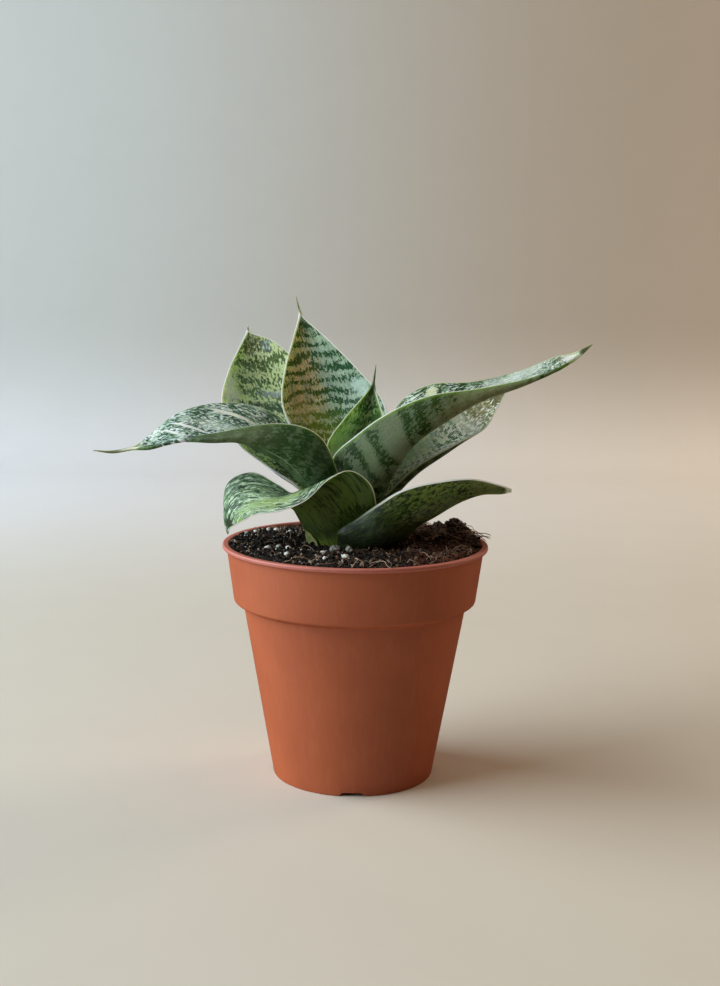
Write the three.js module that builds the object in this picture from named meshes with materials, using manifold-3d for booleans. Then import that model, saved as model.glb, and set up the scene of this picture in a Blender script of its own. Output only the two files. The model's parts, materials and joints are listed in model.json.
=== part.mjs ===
// Dwarf bird's-nest snake plant in a moulded plastic nursery pot, filled with gritty potting mix.
// Millimetres, +Z up. The origin is the centre of the pot's underside, and the plant is seen from -Y.
import * as THREE from "three";
import { ParametricGeometry } from "three/addons/geometries/ParametricGeometry.js";
import { mergeVertices } from "three/addons/utils/BufferGeometryUtils.js";
import Module from "manifold-3d";

// Pot
const POT_HEIGHT = 93.5;
const LIP_RADIUS = 52.5;
const LIP_HEIGHT = 1.6;
const LIP_WIDTH = 2.4;
const LIP_EDGE = 0.45;
const BAND_TOP_RADIUS = 50.8;
const BAND_BOTTOM_RADIUS = 48.2;
const BAND_BOTTOM_Z = 72.4;
const BAND_CORNER = 1.5;
const BAND_CORNER_FROM_DEGREES = -80;
const BAND_CORNER_STEPS = 3;
const SHOULDER_Z = 68.2;
const SHOULDER_RADIUS = 44.0;
const FILLET_REACH = 0.8;
const FILLET_RISE = 1.6;
const INNER_LEDGE = [
  [42.8, 68.6],
  [44.0, 71.0],
  [46.3, 72.6],
  [47.0, 73.6],
];
const FOOT_RADIUS = 32.0;
const WALL = 1.2;
const FLOOR_UNDERSIDE_Z = 2.6;
const FLOOR_THICKNESS = 1.4;
const FOOT_RING_WIDTH = 1.7;
const CENTRE_PAD_RADIUS = 9.0;
const CENTRE_PAD_SLOPE = 1.6;
const POT_SIDES = 48;
const NOTCH_WIDTH = 10.5;
const NOTCH_HEIGHT = 1.5;
const NOTCH_SLOPE = 1.5;
const NOTCH_COUNT = 4;
const NOTCH_OVERCUT = 2.0;
const DRAIN_RADIUS = 4.0;
const DRAIN_CIRCLE_RADIUS = 19.5;
const DRAIN_COUNT = 6;
const DRAIN_SIDES = 16;

// Potting mix
const CLEARANCE = 0.4;
const SOIL_CLEARANCE = 0.8;
const SOIL_EDGE_Z = 91.0;
const SOIL_CROWN_Z = 94.6;
const SOIL_SIDES = 36;
const SOIL_RINGS = [1, 0.85, 0.65, 0.4, 0.2];

// Rhizome crown: the buried stem that carries the leaf bases
const CROWN_TOP_Z = 88.0;
const CROWN_BOTTOM_Z = 60.0;
const CROWN_RADIUS = 19.0;
const CROWN_CENTRE = [-0.5, -3];
const CROWN_SIDES = 20;
const CROWN_SIDE_HEIGHT = 14.0;
const CROWN_TOP_EDGE = 1.0;
const CROWN_BELLY_RISE = 8.0;
const CROWN_BELLY = 0.7;
const CROWN_ROOT_RADIUS = 4.0;

// Leaf surfaces
const STEPS_PER_SPAN = 3;
const STEPS_ACROSS = 6;
const TANGENT_STEP = 1e-3;

const FINISHES = {
  terracotta: { color: 0xa85c3c, roughness: 0.45 },
  soil: { color: 0x2b231d, roughness: 0.95 },
  crown: { color: 0xb9a27a, roughness: 0.8 },
  leafDark: { color: 0x2f4a2a, roughness: 0.5 },
  leafMid: { color: 0x4a6a3a, roughness: 0.5 },
  leafPale: { color: 0x6d8a52, roughness: 0.5 },
  scale: { color: 0xb8b884, roughness: 0.6 },
  perlite: { color: 0xe6e4dc, roughness: 0.9 },
  bark: { color: 0x6a5442, roughness: 0.9 },
  grit: { color: 0x9a948a, roughness: 0.9 },
};

// A leaf is a list of stations from its buried base to its tip. Each station is the right margin, the
// midrib and the left margin, seen with the leaf's upper face towards the eye, and half the thickness.
const LEAVES = {
  leaf_centre_young: {
    finish: FINISHES.leafMid,
    stations: [
      [[2, 1, 78], [-2, 3, 78], [-6, 1, 78], 1.4],
      [[4, 0, 110.5], [-3.5, 5, 108.5], [-10, 0, 110.5], 1.6],
      [[8.5, -1, 120.5], [-2.5, 5, 118.5], [-10.5, -2, 120.5], 1.5],
      [[11.5, 0, 132.5], [-1.5, 7, 130.5], [-11.5, -3, 132.5], 1.3],
      [[10.5, 3, 143], [2, 8, 140], [-5.5, 0, 142], 1.1],
      [[8.5, 5, 149.5], [5, 8, 148.5], [1, 4, 149.5], 0.9],
      [[7, 7, 155], [6.2, 7.5, 155], [5.4, 7, 155], 0.6],
      [[7.2, 7, 159.5], [6.8, 7, 159.5], [6.4, 7, 159.5], 0.4],
      [[7.4, 7, 163.5], [7.3, 7, 163.5], [7.2, 7, 163.5], 0.15],
    ],
  },
  leaf_long_right: {
    finish: FINISHES.leafMid,
    stations: [
      [[-3, -5, 78], [5, -6, 78], [8, 3, 78], 2.2],
      [[-7.5, -9, 112], [3.5, -9, 105.5], [9.5, 6, 109.5], 2],
      [[-9.5, -11, 127.5], [6.5, -11, 114.5], [12.5, 9, 122], 1.8],
      [[0.5, -12, 138], [13.5, -12, 125], [12.5, 14, 135.5], 1.7],
      [[13.5, -11, 147], [21.5, -11, 135], [17.5, 18, 148], 1.5],
      [[29, -8, 153], [31, -9, 142], [29.5, 19, 155], 1.3],
      [[47.5, -4, 155.5], [47, -4, 151], [47, 17, 156.5], 1.1],
      [[65.5, 0, 159], [64, 0, 157], [65, 13, 161.5], 0.9],
      [[78.5, 2, 163.5], [77.5, 2, 163], [77, 8, 167], 0.8],
      [[85.5, 4, 167], [85, 4, 167], [84.5, 6, 169], 0.8],
      [[92, 5, 172.4], [91.9, 5, 172.5], [91.7, 5.1, 172.6], 0.15],
    ],
  },
  leaf_long_left: {
    finish: FINISHES.leafMid,
    stations: [
      [[-10, 4, 78], [-8, -5, 78], [0, -8, 78], 2],
      [[-15, 6, 107.5], [-11.5, -8, 107], [-4, -11, 111.5], 1.8],
      [[-21.5, 11, 122.5], [-19.5, -12, 119], [-7.5, -15, 125], 1.7],
      [[-25.5, 15, 132], [-27, -15, 127], [-13, -16, 136.5], 1.7],
      [[-31, 17, 141], [-36, -14, 132], [-22.5, -16, 141.5], 1.5],
      [[-43.5, 18, 146], [-45.5, -12, 135.5], [-36, -14, 141.5], 1.3],
      [[-58.5, 16, 146.5], [-57, -10, 135.5], [-50.5, -12, 138.5], 1.1],
      [[-71.5, 11, 143], [-69, -9, 135.5], [-65.5, -10, 135.5], 0.9],
      [[-80.5, 5, 136], [-80, -7, 131.5], [-79, -7.5, 132.5], 0.8],
      [[-87, -3.8, 130.8], [-87.4, -5, 130.4], [-87, -6.2, 130.8], 0.7],
      [[-94.8, -4.5, 129.1], [-95, -5, 129], [-94.8, -5.5, 129.1], 0.6],
      [[-102.7, -4.9, 129.5], [-102.7, -5, 129.5], [-102.7, -5.1, 129.5], 0.15],
    ],
  },
  leaf_back_tall: {
    finish: FINISHES.leafDark,
    stations: [
      [[5, 4, 78], [-2, 9, 78], [-9, 4, 78], 2.2],
      [[1, 4, 108], [-6, 11, 106], [-12.5, 4, 108.5], 2],
      [[7.5, 6, 121], [-6.5, 15, 121], [-19, 6, 123.5], 1.8],
      [[13, 11, 134], [-8.5, 20, 135], [-26.5, 11, 137.5], 1.6],
      [[10.5, 16, 148.5], [-12, 26, 148.5], [-30.5, 16, 148], 1.4],
      [[0, 21, 161], [-16, 28, 161.5], [-29.5, 21, 160.5], 1.2],
      [[-12.5, 25, 173], [-20, 29, 172], [-26.5, 25, 172.5], 0.9],
      [[-22.4, 27, 181.5], [-23.3, 27.5, 181.9], [-24.2, 27, 181.5], 0.6],
      [[-24, 27, 185.5], [-24.4, 27, 185.6], [-24.8, 27, 185.5], 0.4],
      [[-25.2, 27, 189.5], [-25.3, 27, 189.5], [-25.4, 27, 189.5], 0.15],
    ],
  },
  leaf_back_left: {
    finish: FINISHES.leafPale,
    stations: [
      [[-6, 13, 78], [-12, 9.5, 78], [-14, 1, 78], 2.2],
      [[-4.5, 16, 107.5], [-13.5, 15, 106.5], [-20.5, 8, 109.5], 2],
      [[-7.5, 20, 120.5], [-22, 23, 117], [-34.5, 14, 120.5], 1.8],
      [[-10, 24.5, 133.5], [-29, 29, 128.5], [-49, 20, 130.5], 1.6],
      [[-14.5, 29, 145], [-35.5, 35, 143], [-55.5, 26, 146], 1.4],
      [[-21.5, 33, 159], [-40, 38, 156], [-53.5, 31, 158], 1.2],
      [[-34, 36.5, 170.5], [-43, 39, 167], [-50, 35, 166.5], 0.9],
      [[-44.9, 38, 174.5], [-45.6, 38.5, 174.6], [-46.3, 38, 174.5], 0.6],
      [[-45.6, 38, 177.5], [-45.8, 38, 177.5], [-46, 38, 177.5], 0.2],
    ],
  },
  leaf_rear_right: {
    finish: FINISHES.leafPale,
    stations: [
      [[9, -2, 78], [9, 5, 78], [2, 11, 78], 2.2],
      [[9, 3, 108], [13, 10, 107], [1.5, 16, 112], 2],
      [[13, 6, 113], [15.5, 14, 113.5], [7, 20, 123], 1.7],
      [[24.5, 10, 123], [23, 20, 121], [16, 25, 133.5], 1.5],
      [[40, 15, 131.5], [34, 26, 129.5], [26, 30, 143.5], 1.3],
      [[51.5, 19, 137], [44, 29, 139.5], [38.5, 32, 150], 1.1],
      [[57, 23, 145], [54, 31, 148], [50, 32, 153], 0.9],
      [[62, 29, 152.5], [61, 29.5, 152.7], [60.5, 29.5, 153.5], 0.5],
      [[64.6, 30, 155], [64.5, 30, 155.1], [64.4, 30, 155.2], 0.15],
    ],
  },
  leaf_low_left: {
    finish: FINISHES.leafMid,
    stations: [
      [[-13, -2, 78], [-9, -11, 78], [4, -12, 78], 2.2],
      [[-16, -4, 98], [-10.5, -14, 96], [7, -14, 100], 2.1],
      [[-18, -6, 106], [-15.5, -17.5, 103.5], [8, -18, 110.5], 1.9],
      [[-18.5, -12.5, 114.5], [-19.5, -21, 109.5], [5.5, -21, 120], 1.6],
      [[-17, -17, 118], [-22.5, -22, 111.5], [-2, -24, 125.5], 1.4],
      [[-20, -17.5, 117], [-26.5, -20.5, 113], [-10, -27, 122.5], 1.2],
      [[-24.5, -13.5, 115], [-31, -18, 113.5], [-18.5, -28, 114.5], 1.1],
      [[-30.5, -8, 117.5], [-38.5, -14, 114], [-28.5, -27, 110], 1.1],
      [[-41, 0, 121], [-45, -10, 112.5], [-37.5, -23, 108], 1],
      [[-51, 3, 116], [-49, -8, 108.5], [-44, -18, 104], 0.9],
      [[-51.5, -3, 104.5], [-50.5, -8, 102.5], [-48.5, -12, 100.5], 0.7],
      [[-49.8, -10.5, 98], [-49.6, -10.8, 98], [-49.4, -11.1, 98], 0.2],
    ],
  },
  leaf_low_right: {
    finish: FINISHES.leafDark,
    stations: [
      [[-8, -15, 78], [3, -18.5, 78], [14, -9, 78], 2.3],
      [[-7, -18, 96.5], [4, -18.5, 93], [16, -5, 94.5], 2.2],
      [[-6.5, -21, 102], [9.5, -20, 96.5], [20.5, -2, 100], 2.1],
      [[0, -22, 106.5], [15, -20, 99.5], [25.5, 2, 105.5], 1.9],
      [[9, -23, 113], [20.5, -20, 104], [30.5, 5, 110], 1.7],
      [[17.5, -22, 118], [28.5, -20, 108.5], [36, 5, 114], 1.5],
      [[30, -20, 121], [38, -18, 113.5], [42, 2, 117], 1.3],
      [[43.5, -17, 122], [47.5, -16, 116.5], [49.5, -2, 118.5], 1.1],
      [[54.5, -14, 119.5], [55.5, -14, 116.5], [56, -7, 117.5], 0.9],
      [[60, -12.6, 117.6], [60, -12, 116.8], [60, -11, 117.4], 0.7],
    ],
  },
  basal_scale: {
    finish: FINISHES.scale,
    stations: [
      [[-13, -1, 78], [-16, -7, 78], [-12, -13, 78], 0.9],
      [[-15, -1, 94], [-18, -8, 93.5], [-14, -15, 94], 0.8],
      [[-17.5, -5, 99], [-19, -9.5, 98.5], [-17, -14.5, 99], 0.6],
      [[-19.6, -10.7, 102.5], [-19.7, -11, 102.5], [-19.6, -11.3, 102.5], 0.2],
    ],
  },
};

// Loose pieces lying in the surface: [x, y, radius], and a turn about Z in degrees.
const PERLITE = [
  [-44.5, 13, 1.1, 10],
  [-41, 19.5, 1.2, 50],
  [-36, 25, 1.1, 80],
  [-32.5, 19, 1.2, 120],
  [-26.5, 10, 1.3, 15],
  [-33.5, -17, 1.2, 200],
  [-29.5, -15, 1.1, 70],
  [-25.5, -21, 1.3, 300],
  [-25.5, -31.5, 1.1, 140],
  [-12, -27.5, 1.2, 35],
  [-11, -37.5, 1.0, 220],
  [-3.5, -34.5, 1.3, 165],
];
const CHIPS = [
  { at: [-7.6, -25.4, 1.6, 25], finish: FINISHES.grit },
  { at: [-2.2, -25.8, 1.5, 75], finish: FINISHES.grit },
  { at: [34, 27, 1.8, 130], finish: FINISHES.bark },
  { at: [40, 17, 2.6, 40], finish: FINISHES.bark },
];
const GRAIN_LENGTH = 1.25;
const GRAIN_HEIGHT = 0.85;
const GRAIN_SINK = 0.35;

const wasm = await Module();
wasm.setup();

/** A closed solid from a geometry whose shared vertices can be merged. */
function toSolid(geometry) {
  geometry.deleteAttribute("normal");
  geometry.deleteAttribute("uv");
  const merged = mergeVertices(geometry, 1e-3);
  const mesh = new wasm.Mesh({
    numProp: 3,
    vertProperties: merged.attributes.position.array,
    triVerts: new Uint32Array(merged.index.array),
  });
  return new wasm.Manifold(mesh);
}

/** The largest body of a solid, as a geometry. */
function toGeometry(solid) {
  const bodies = solid.decompose().sort((a, b) => b.volume() - a.volume());
  const mesh = bodies[0].getMesh();
  const geometry = new THREE.BufferGeometry();
  geometry.setAttribute("position", new THREE.BufferAttribute(new Float32Array(mesh.vertProperties), 3));
  geometry.setIndex(new THREE.BufferAttribute(new Uint32Array(mesh.triVerts), 1));
  geometry.computeVertexNormals();
  return geometry;
}

/** A geometry turned about Z by a profile of [radius, height] pairs that starts and ends on the axis. */
function turned(profile, sides) {
  const points = profile.map(([radius, height]) => new THREE.Vector2(radius, height));
  return new THREE.LatheGeometry(points, sides).rotateX(Math.PI / 2);
}

/** Points on an arc from one angle to another, in degrees, as [radius, height] pairs. */
function arc(centreRadius, centreHeight, size, fromDegrees, toDegrees, steps) {
  return Array.from({ length: steps + 1 }, (_, i) => {
    const angle = THREE.MathUtils.degToRad(fromDegrees + ((toDegrees - fromDegrees) * i) / steps);
    return [centreRadius + size * Math.cos(angle), centreHeight + size * Math.sin(angle)];
  });
}

/** The pot's outer wall, from the foot up to the lip's top edge. */
function potOutside() {
  const cornerRadius = BAND_BOTTOM_RADIUS - BAND_CORNER;
  return [
    [FOOT_RADIUS, 0],
    [SHOULDER_RADIUS, SHOULDER_Z],
    [SHOULDER_RADIUS + FILLET_REACH, SHOULDER_Z + FILLET_RISE],
    ...arc(cornerRadius, BAND_BOTTOM_Z, BAND_CORNER, BAND_CORNER_FROM_DEGREES, 0, BAND_CORNER_STEPS),
    [BAND_TOP_RADIUS, POT_HEIGHT - LIP_HEIGHT - LIP_EDGE],
    [LIP_RADIUS - LIP_EDGE, POT_HEIGHT - LIP_HEIGHT],
    [LIP_RADIUS, POT_HEIGHT - LIP_HEIGHT + LIP_EDGE],
    [LIP_RADIUS, POT_HEIGHT - LIP_EDGE],
    [LIP_RADIUS - LIP_EDGE, POT_HEIGHT],
  ];
}

/** The pot's inner wall, from the floor up to the lip's inner edge. */
function potInside() {
  const floorTop = FLOOR_UNDERSIDE_Z + FLOOR_THICKNESS;
  const innerSlope = (SHOULDER_RADIUS - FOOT_RADIUS) / SHOULDER_Z;
  return [
    [FOOT_RADIUS + innerSlope * floorTop - WALL, floorTop],
    ...INNER_LEDGE,
    [BAND_TOP_RADIUS - WALL, POT_HEIGHT - LIP_HEIGHT - 2 * LIP_EDGE],
    [LIP_RADIUS - LIP_WIDTH, POT_HEIGHT - LIP_EDGE],
    [LIP_RADIUS - LIP_WIDTH + LIP_EDGE, POT_HEIGHT],
  ];
}

/** The pot's moulded shell, with foot notches and drain holes cut through it. */
function potSolid() {
  const ringInner = FOOT_RADIUS - FOOT_RING_WIDTH;
  const padTopRadius = CENTRE_PAD_RADIUS - FLOOR_THICKNESS / 2;
  const floorTop = FLOOR_UNDERSIDE_Z + FLOOR_THICKNESS;
  const underside = [
    [0, 0],
    [CENTRE_PAD_RADIUS, 0],
    [CENTRE_PAD_RADIUS + CENTRE_PAD_SLOPE, FLOOR_UNDERSIDE_Z],
    [ringInner - 0.4, FLOOR_UNDERSIDE_Z],
    [ringInner, 0],
  ];
  const floor = [
    [padTopRadius + CENTRE_PAD_SLOPE, floorTop],
    [padTopRadius, FLOOR_THICKNESS],
    [0, FLOOR_THICKNESS],
  ];
  let pot = toSolid(turned([...underside, ...potOutside(), ...potInside().reverse(), ...floor], POT_SIDES));
  for (let i = 0; i < NOTCH_COUNT; i += 1) {
    pot = pot.subtract(toSolid(notch((i * 2 * Math.PI) / NOTCH_COUNT)));
  }
  for (let i = 0; i < DRAIN_COUNT; i += 1) {
    pot = pot.subtract(toSolid(drainHole(((i + 0.5) * 2 * Math.PI) / DRAIN_COUNT)));
  }
  return pot;
}

/** A tapered cutter that opens the foot ring towards -Y, turned about Z by an angle in radians. */
function notch(angle) {
  const half = NOTCH_WIDTH / 2;
  const shape = new THREE.Shape([
    new THREE.Vector2(-half, -NOTCH_OVERCUT),
    new THREE.Vector2(half, -NOTCH_OVERCUT),
    new THREE.Vector2(half, 0),
    new THREE.Vector2(half - NOTCH_SLOPE, NOTCH_HEIGHT),
    new THREE.Vector2(-half + NOTCH_SLOPE, NOTCH_HEIGHT),
    new THREE.Vector2(-half, 0),
  ]);
  const depth = FOOT_RING_WIDTH + 2 * NOTCH_OVERCUT;
  const cutter = new THREE.ExtrudeGeometry(shape, { depth, bevelEnabled: false });
  const innerEnd = FOOT_RADIUS - FOOT_RING_WIDTH - NOTCH_OVERCUT;
  return cutter.rotateX(Math.PI / 2).translate(0, -innerEnd, 0).rotateZ(angle);
}

/** A round cutter through the pot's floor at an angle in radians. */
function drainHole(angle) {
  const length = 4 * FLOOR_THICKNESS;
  const cutter = new THREE.CylinderGeometry(DRAIN_RADIUS, DRAIN_RADIUS, length, DRAIN_SIDES);
  return cutter
    .rotateX(Math.PI / 2)
    .translate(DRAIN_CIRCLE_RADIUS, 0, FLOOR_UNDERSIDE_Z)
    .rotateZ(angle);
}

/** Height of the potting mix at a distance from the pot's axis. */
function soilHeight(radius) {
  const edge = BAND_TOP_RADIUS - WALL;
  return SOIL_CROWN_Z - (SOIL_CROWN_Z - SOIL_EDGE_Z) * (radius / edge) ** 2;
}

/** The potting mix before anything is cut out of it. */
function soilGeometry() {
  const inside = potInside().slice(0, 1 + INNER_LEDGE.length);
  const wall = inside.map(([radius, height]) => [radius - CLEARANCE, height]);
  wall[0][1] += CLEARANCE;
  const edge = BAND_TOP_RADIUS - WALL - CLEARANCE;
  const surface = SOIL_RINGS.map((part) => [part * edge, soilHeight(part * edge)]);
  return turned([[0, wall[0][1]], ...wall, ...surface, [0, SOIL_CROWN_Z]], SOIL_SIDES);
}

/** The buried crown, a squat stem that tapers to its root end, with a margin all round it. */
function crownGeometry(margin = 0) {
  const radius = CROWN_RADIUS + margin;
  const profile = [
    [0, CROWN_BOTTOM_Z - margin],
    [CROWN_ROOT_RADIUS + margin, CROWN_BOTTOM_Z - margin],
    [radius * CROWN_BELLY, CROWN_BOTTOM_Z + CROWN_BELLY_RISE - margin],
    [radius, CROWN_TOP_Z - CROWN_SIDE_HEIGHT],
    [radius - CROWN_TOP_EDGE, CROWN_TOP_Z + margin],
    [0, CROWN_TOP_Z + margin],
  ];
  return turned(profile, CROWN_SIDES).translate(CROWN_CENTRE[0], CROWN_CENTRE[1], 0);
}

/** Three smooth rails through a leaf's stations, and its half thickness along them. */
function railsOf(stations) {
  const rail = (column) =>
    new THREE.CatmullRomCurve3(
      stations.map((station) => new THREE.Vector3(...station[column])),
      false,
      "catmullrom",
      0.5,
    );
  const [right, middle, left] = [0, 1, 2].map(rail);
  const spans = stations.length - 1;
  const halfThickness = (t) => {
    const place = t * spans;
    const index = Math.min(Math.floor(place), spans - 1);
    return THREE.MathUtils.lerp(stations[index][3], stations[index + 1][3], place - index);
  };
  return { right, middle, left, halfThickness, spans };
}

/** A point on the leaf's middle surface: t runs from base to tip, v from the right margin to the left. */
function middleSurface(rails, t, v) {
  return new THREE.Vector3()
    .addScaledVector(rails.right.getPoint(t), (1 - v) * (1 - 2 * v))
    .addScaledVector(rails.middle.getPoint(t), 4 * v * (1 - v))
    .addScaledVector(rails.left.getPoint(t), v * (2 * v - 1));
}

/** Unit vectors on the middle surface: across the leaf to its left, and out of its upper face. */
function surfaceFrame(rails, t, v) {
  const difference = (fromT, fromV, toT, toV) =>
    middleSurface(rails, Math.min(toT, 1), Math.min(toV, 1)).sub(
      middleSurface(rails, Math.max(fromT, 0), Math.max(fromV, 0)),
    );
  const along = difference(t - TANGENT_STEP, v, t + TANGENT_STEP, v);
  const across = difference(t, v - TANGENT_STEP, t, v + TANGENT_STEP).normalize();
  const normal = new THREE.Vector3().crossVectors(along, across).normalize();
  return { across, normal };
}

/** A closed leaf: a lens-shaped section swept along the rails, grown by a margin and shut at both ends. */
function bladeGeometry(stations, margin = 0) {
  const rails = railsOf(stations);
  const section = (u, t, target) => {
    const turn = -2 * Math.PI * u;
    const v = (1 - Math.cos(turn)) / 2;
    const { across, normal } = surfaceFrame(rails, t, v);
    const open = t > 0 && t < 1 ? Math.sin(turn) * (rails.halfThickness(t) + margin) : 0;
    target
      .copy(middleSurface(rails, t, v))
      .addScaledVector(normal, open)
      .addScaledVector(across, -margin * Math.cos(turn));
  };
  return new ParametricGeometry(section, 2 * STEPS_ACROSS, STEPS_PER_SPAN * rails.spans);
}

/** A rough grain, longer than it is wide, sunk into the surface of the mix. */
function grainGeometry([x, y, radius, turn], margin = 0) {
  const size = radius + margin;
  const grain = new THREE.IcosahedronGeometry(size, 0).scale(GRAIN_LENGTH, 1, GRAIN_HEIGHT);
  const height = soilHeight(Math.hypot(x, y)) + radius * GRAIN_SINK;
  return grain.rotateZ(THREE.MathUtils.degToRad(turn)).translate(x, y, height);
}

const group = new THREE.Group();

/** Adds one named piece to the plant. */
function add(name, geometry, finish) {
  const material = new THREE.MeshStandardMaterial({ ...finish, metalness: 0 });
  const mesh = new THREE.Mesh(geometry, material);
  mesh.name = name;
  group.add(mesh);
}

add("pot", toGeometry(potSolid()), FINISHES.terracotta);
add("rhizome_crown", crownGeometry(), FINISHES.crown);

// The leaves are listed from the innermost out, and each one makes room for those inside it.
const crownRoom = toSolid(crownGeometry(CLEARANCE));
let soil = toSolid(soilGeometry()).subtract(crownRoom);
const inside = [crownRoom];
for (const [name, { stations, finish }] of Object.entries(LEAVES)) {
  let leaf = toSolid(bladeGeometry(stations));
  for (const inner of inside) {
    leaf = leaf.subtract(inner);
  }
  add(name, toGeometry(leaf), finish);
  inside.push(toSolid(bladeGeometry(stations, CLEARANCE)));
  soil = soil.subtract(toSolid(bladeGeometry(stations, SOIL_CLEARANCE)));
}

const numbered = (stem, index) => `${stem}_${String(index + 1).padStart(2, "0")}`;
const grains = [
  ...PERLITE.map((at, i) => ({ name: numbered("perlite", i), at, finish: FINISHES.perlite })),
  ...CHIPS.map(({ at, finish }, i) => ({ name: numbered("chip", i), at, finish })),
];
for (const { name, at, finish } of grains) {
  add(name, grainGeometry(at), finish);
  soil = soil.subtract(toSolid(grainGeometry(at, CLEARANCE)));
}
add("soil", toGeometry(soil), FINISHES.soil);

export default group;
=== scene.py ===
"""Dwarf bird's-nest snake plant in a moulded nursery pot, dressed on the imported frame.

Metres, +Z up. The origin is the centre of the pot's underside, and the plant is seen from -Y.
The plant's sizes are written in millimetres and turned into metres where a mesh is made; the
studio's are in metres.
"""

from __future__ import annotations

import json
import logging
import math
import random
from collections.abc import Callable, Iterable, Sequence
from dataclasses import dataclass
from enum import Enum

import bmesh
import bpy
import numpy as np
from mathutils import Euler, Matrix, Vector, noise

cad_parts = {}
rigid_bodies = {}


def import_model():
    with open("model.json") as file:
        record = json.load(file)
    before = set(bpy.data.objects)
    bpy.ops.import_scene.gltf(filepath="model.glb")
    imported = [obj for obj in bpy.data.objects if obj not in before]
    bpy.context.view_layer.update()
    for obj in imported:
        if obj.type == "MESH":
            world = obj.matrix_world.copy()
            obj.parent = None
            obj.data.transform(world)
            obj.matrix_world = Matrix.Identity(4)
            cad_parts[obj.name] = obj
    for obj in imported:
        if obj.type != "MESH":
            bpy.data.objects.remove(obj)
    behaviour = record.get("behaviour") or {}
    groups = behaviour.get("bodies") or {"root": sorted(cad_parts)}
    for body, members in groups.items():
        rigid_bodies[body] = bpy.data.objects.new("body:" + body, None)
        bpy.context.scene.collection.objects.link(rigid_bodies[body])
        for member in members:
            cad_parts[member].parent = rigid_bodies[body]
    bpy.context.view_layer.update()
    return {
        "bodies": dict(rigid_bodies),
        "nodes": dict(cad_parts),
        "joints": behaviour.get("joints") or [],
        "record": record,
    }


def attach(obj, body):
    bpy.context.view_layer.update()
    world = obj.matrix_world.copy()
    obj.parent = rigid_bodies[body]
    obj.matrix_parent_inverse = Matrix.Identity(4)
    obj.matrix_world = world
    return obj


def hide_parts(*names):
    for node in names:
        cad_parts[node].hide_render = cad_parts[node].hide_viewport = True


LOG = logging.getLogger("snake_plant")
MM = 0.001
BODY = "root"
WELD = 1e-6
FINE_WELD = 1e-7
UNDER_TO_UPPER = (0.35, 0.65)

Point = tuple[float, float, float]
Pair = tuple[float, float]
Colour = tuple[int, int, int]
Number = float | bpy.types.NodeSocket


def linear(colour: Colour) -> tuple[float, float, float, float]:
    """Turns an 8-bit display colour into the linear RGBA that a shader socket takes."""

    def channel(value: int) -> float:
        share = value / 255
        return share / 12.92 if share <= 0.04045 else ((share + 0.055) / 1.055) ** 2.4

    return (*(channel(value) for value in colour), 1.0)


# ---------------------------------------------------------------------------------------------
# Materials
# ---------------------------------------------------------------------------------------------


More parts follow.
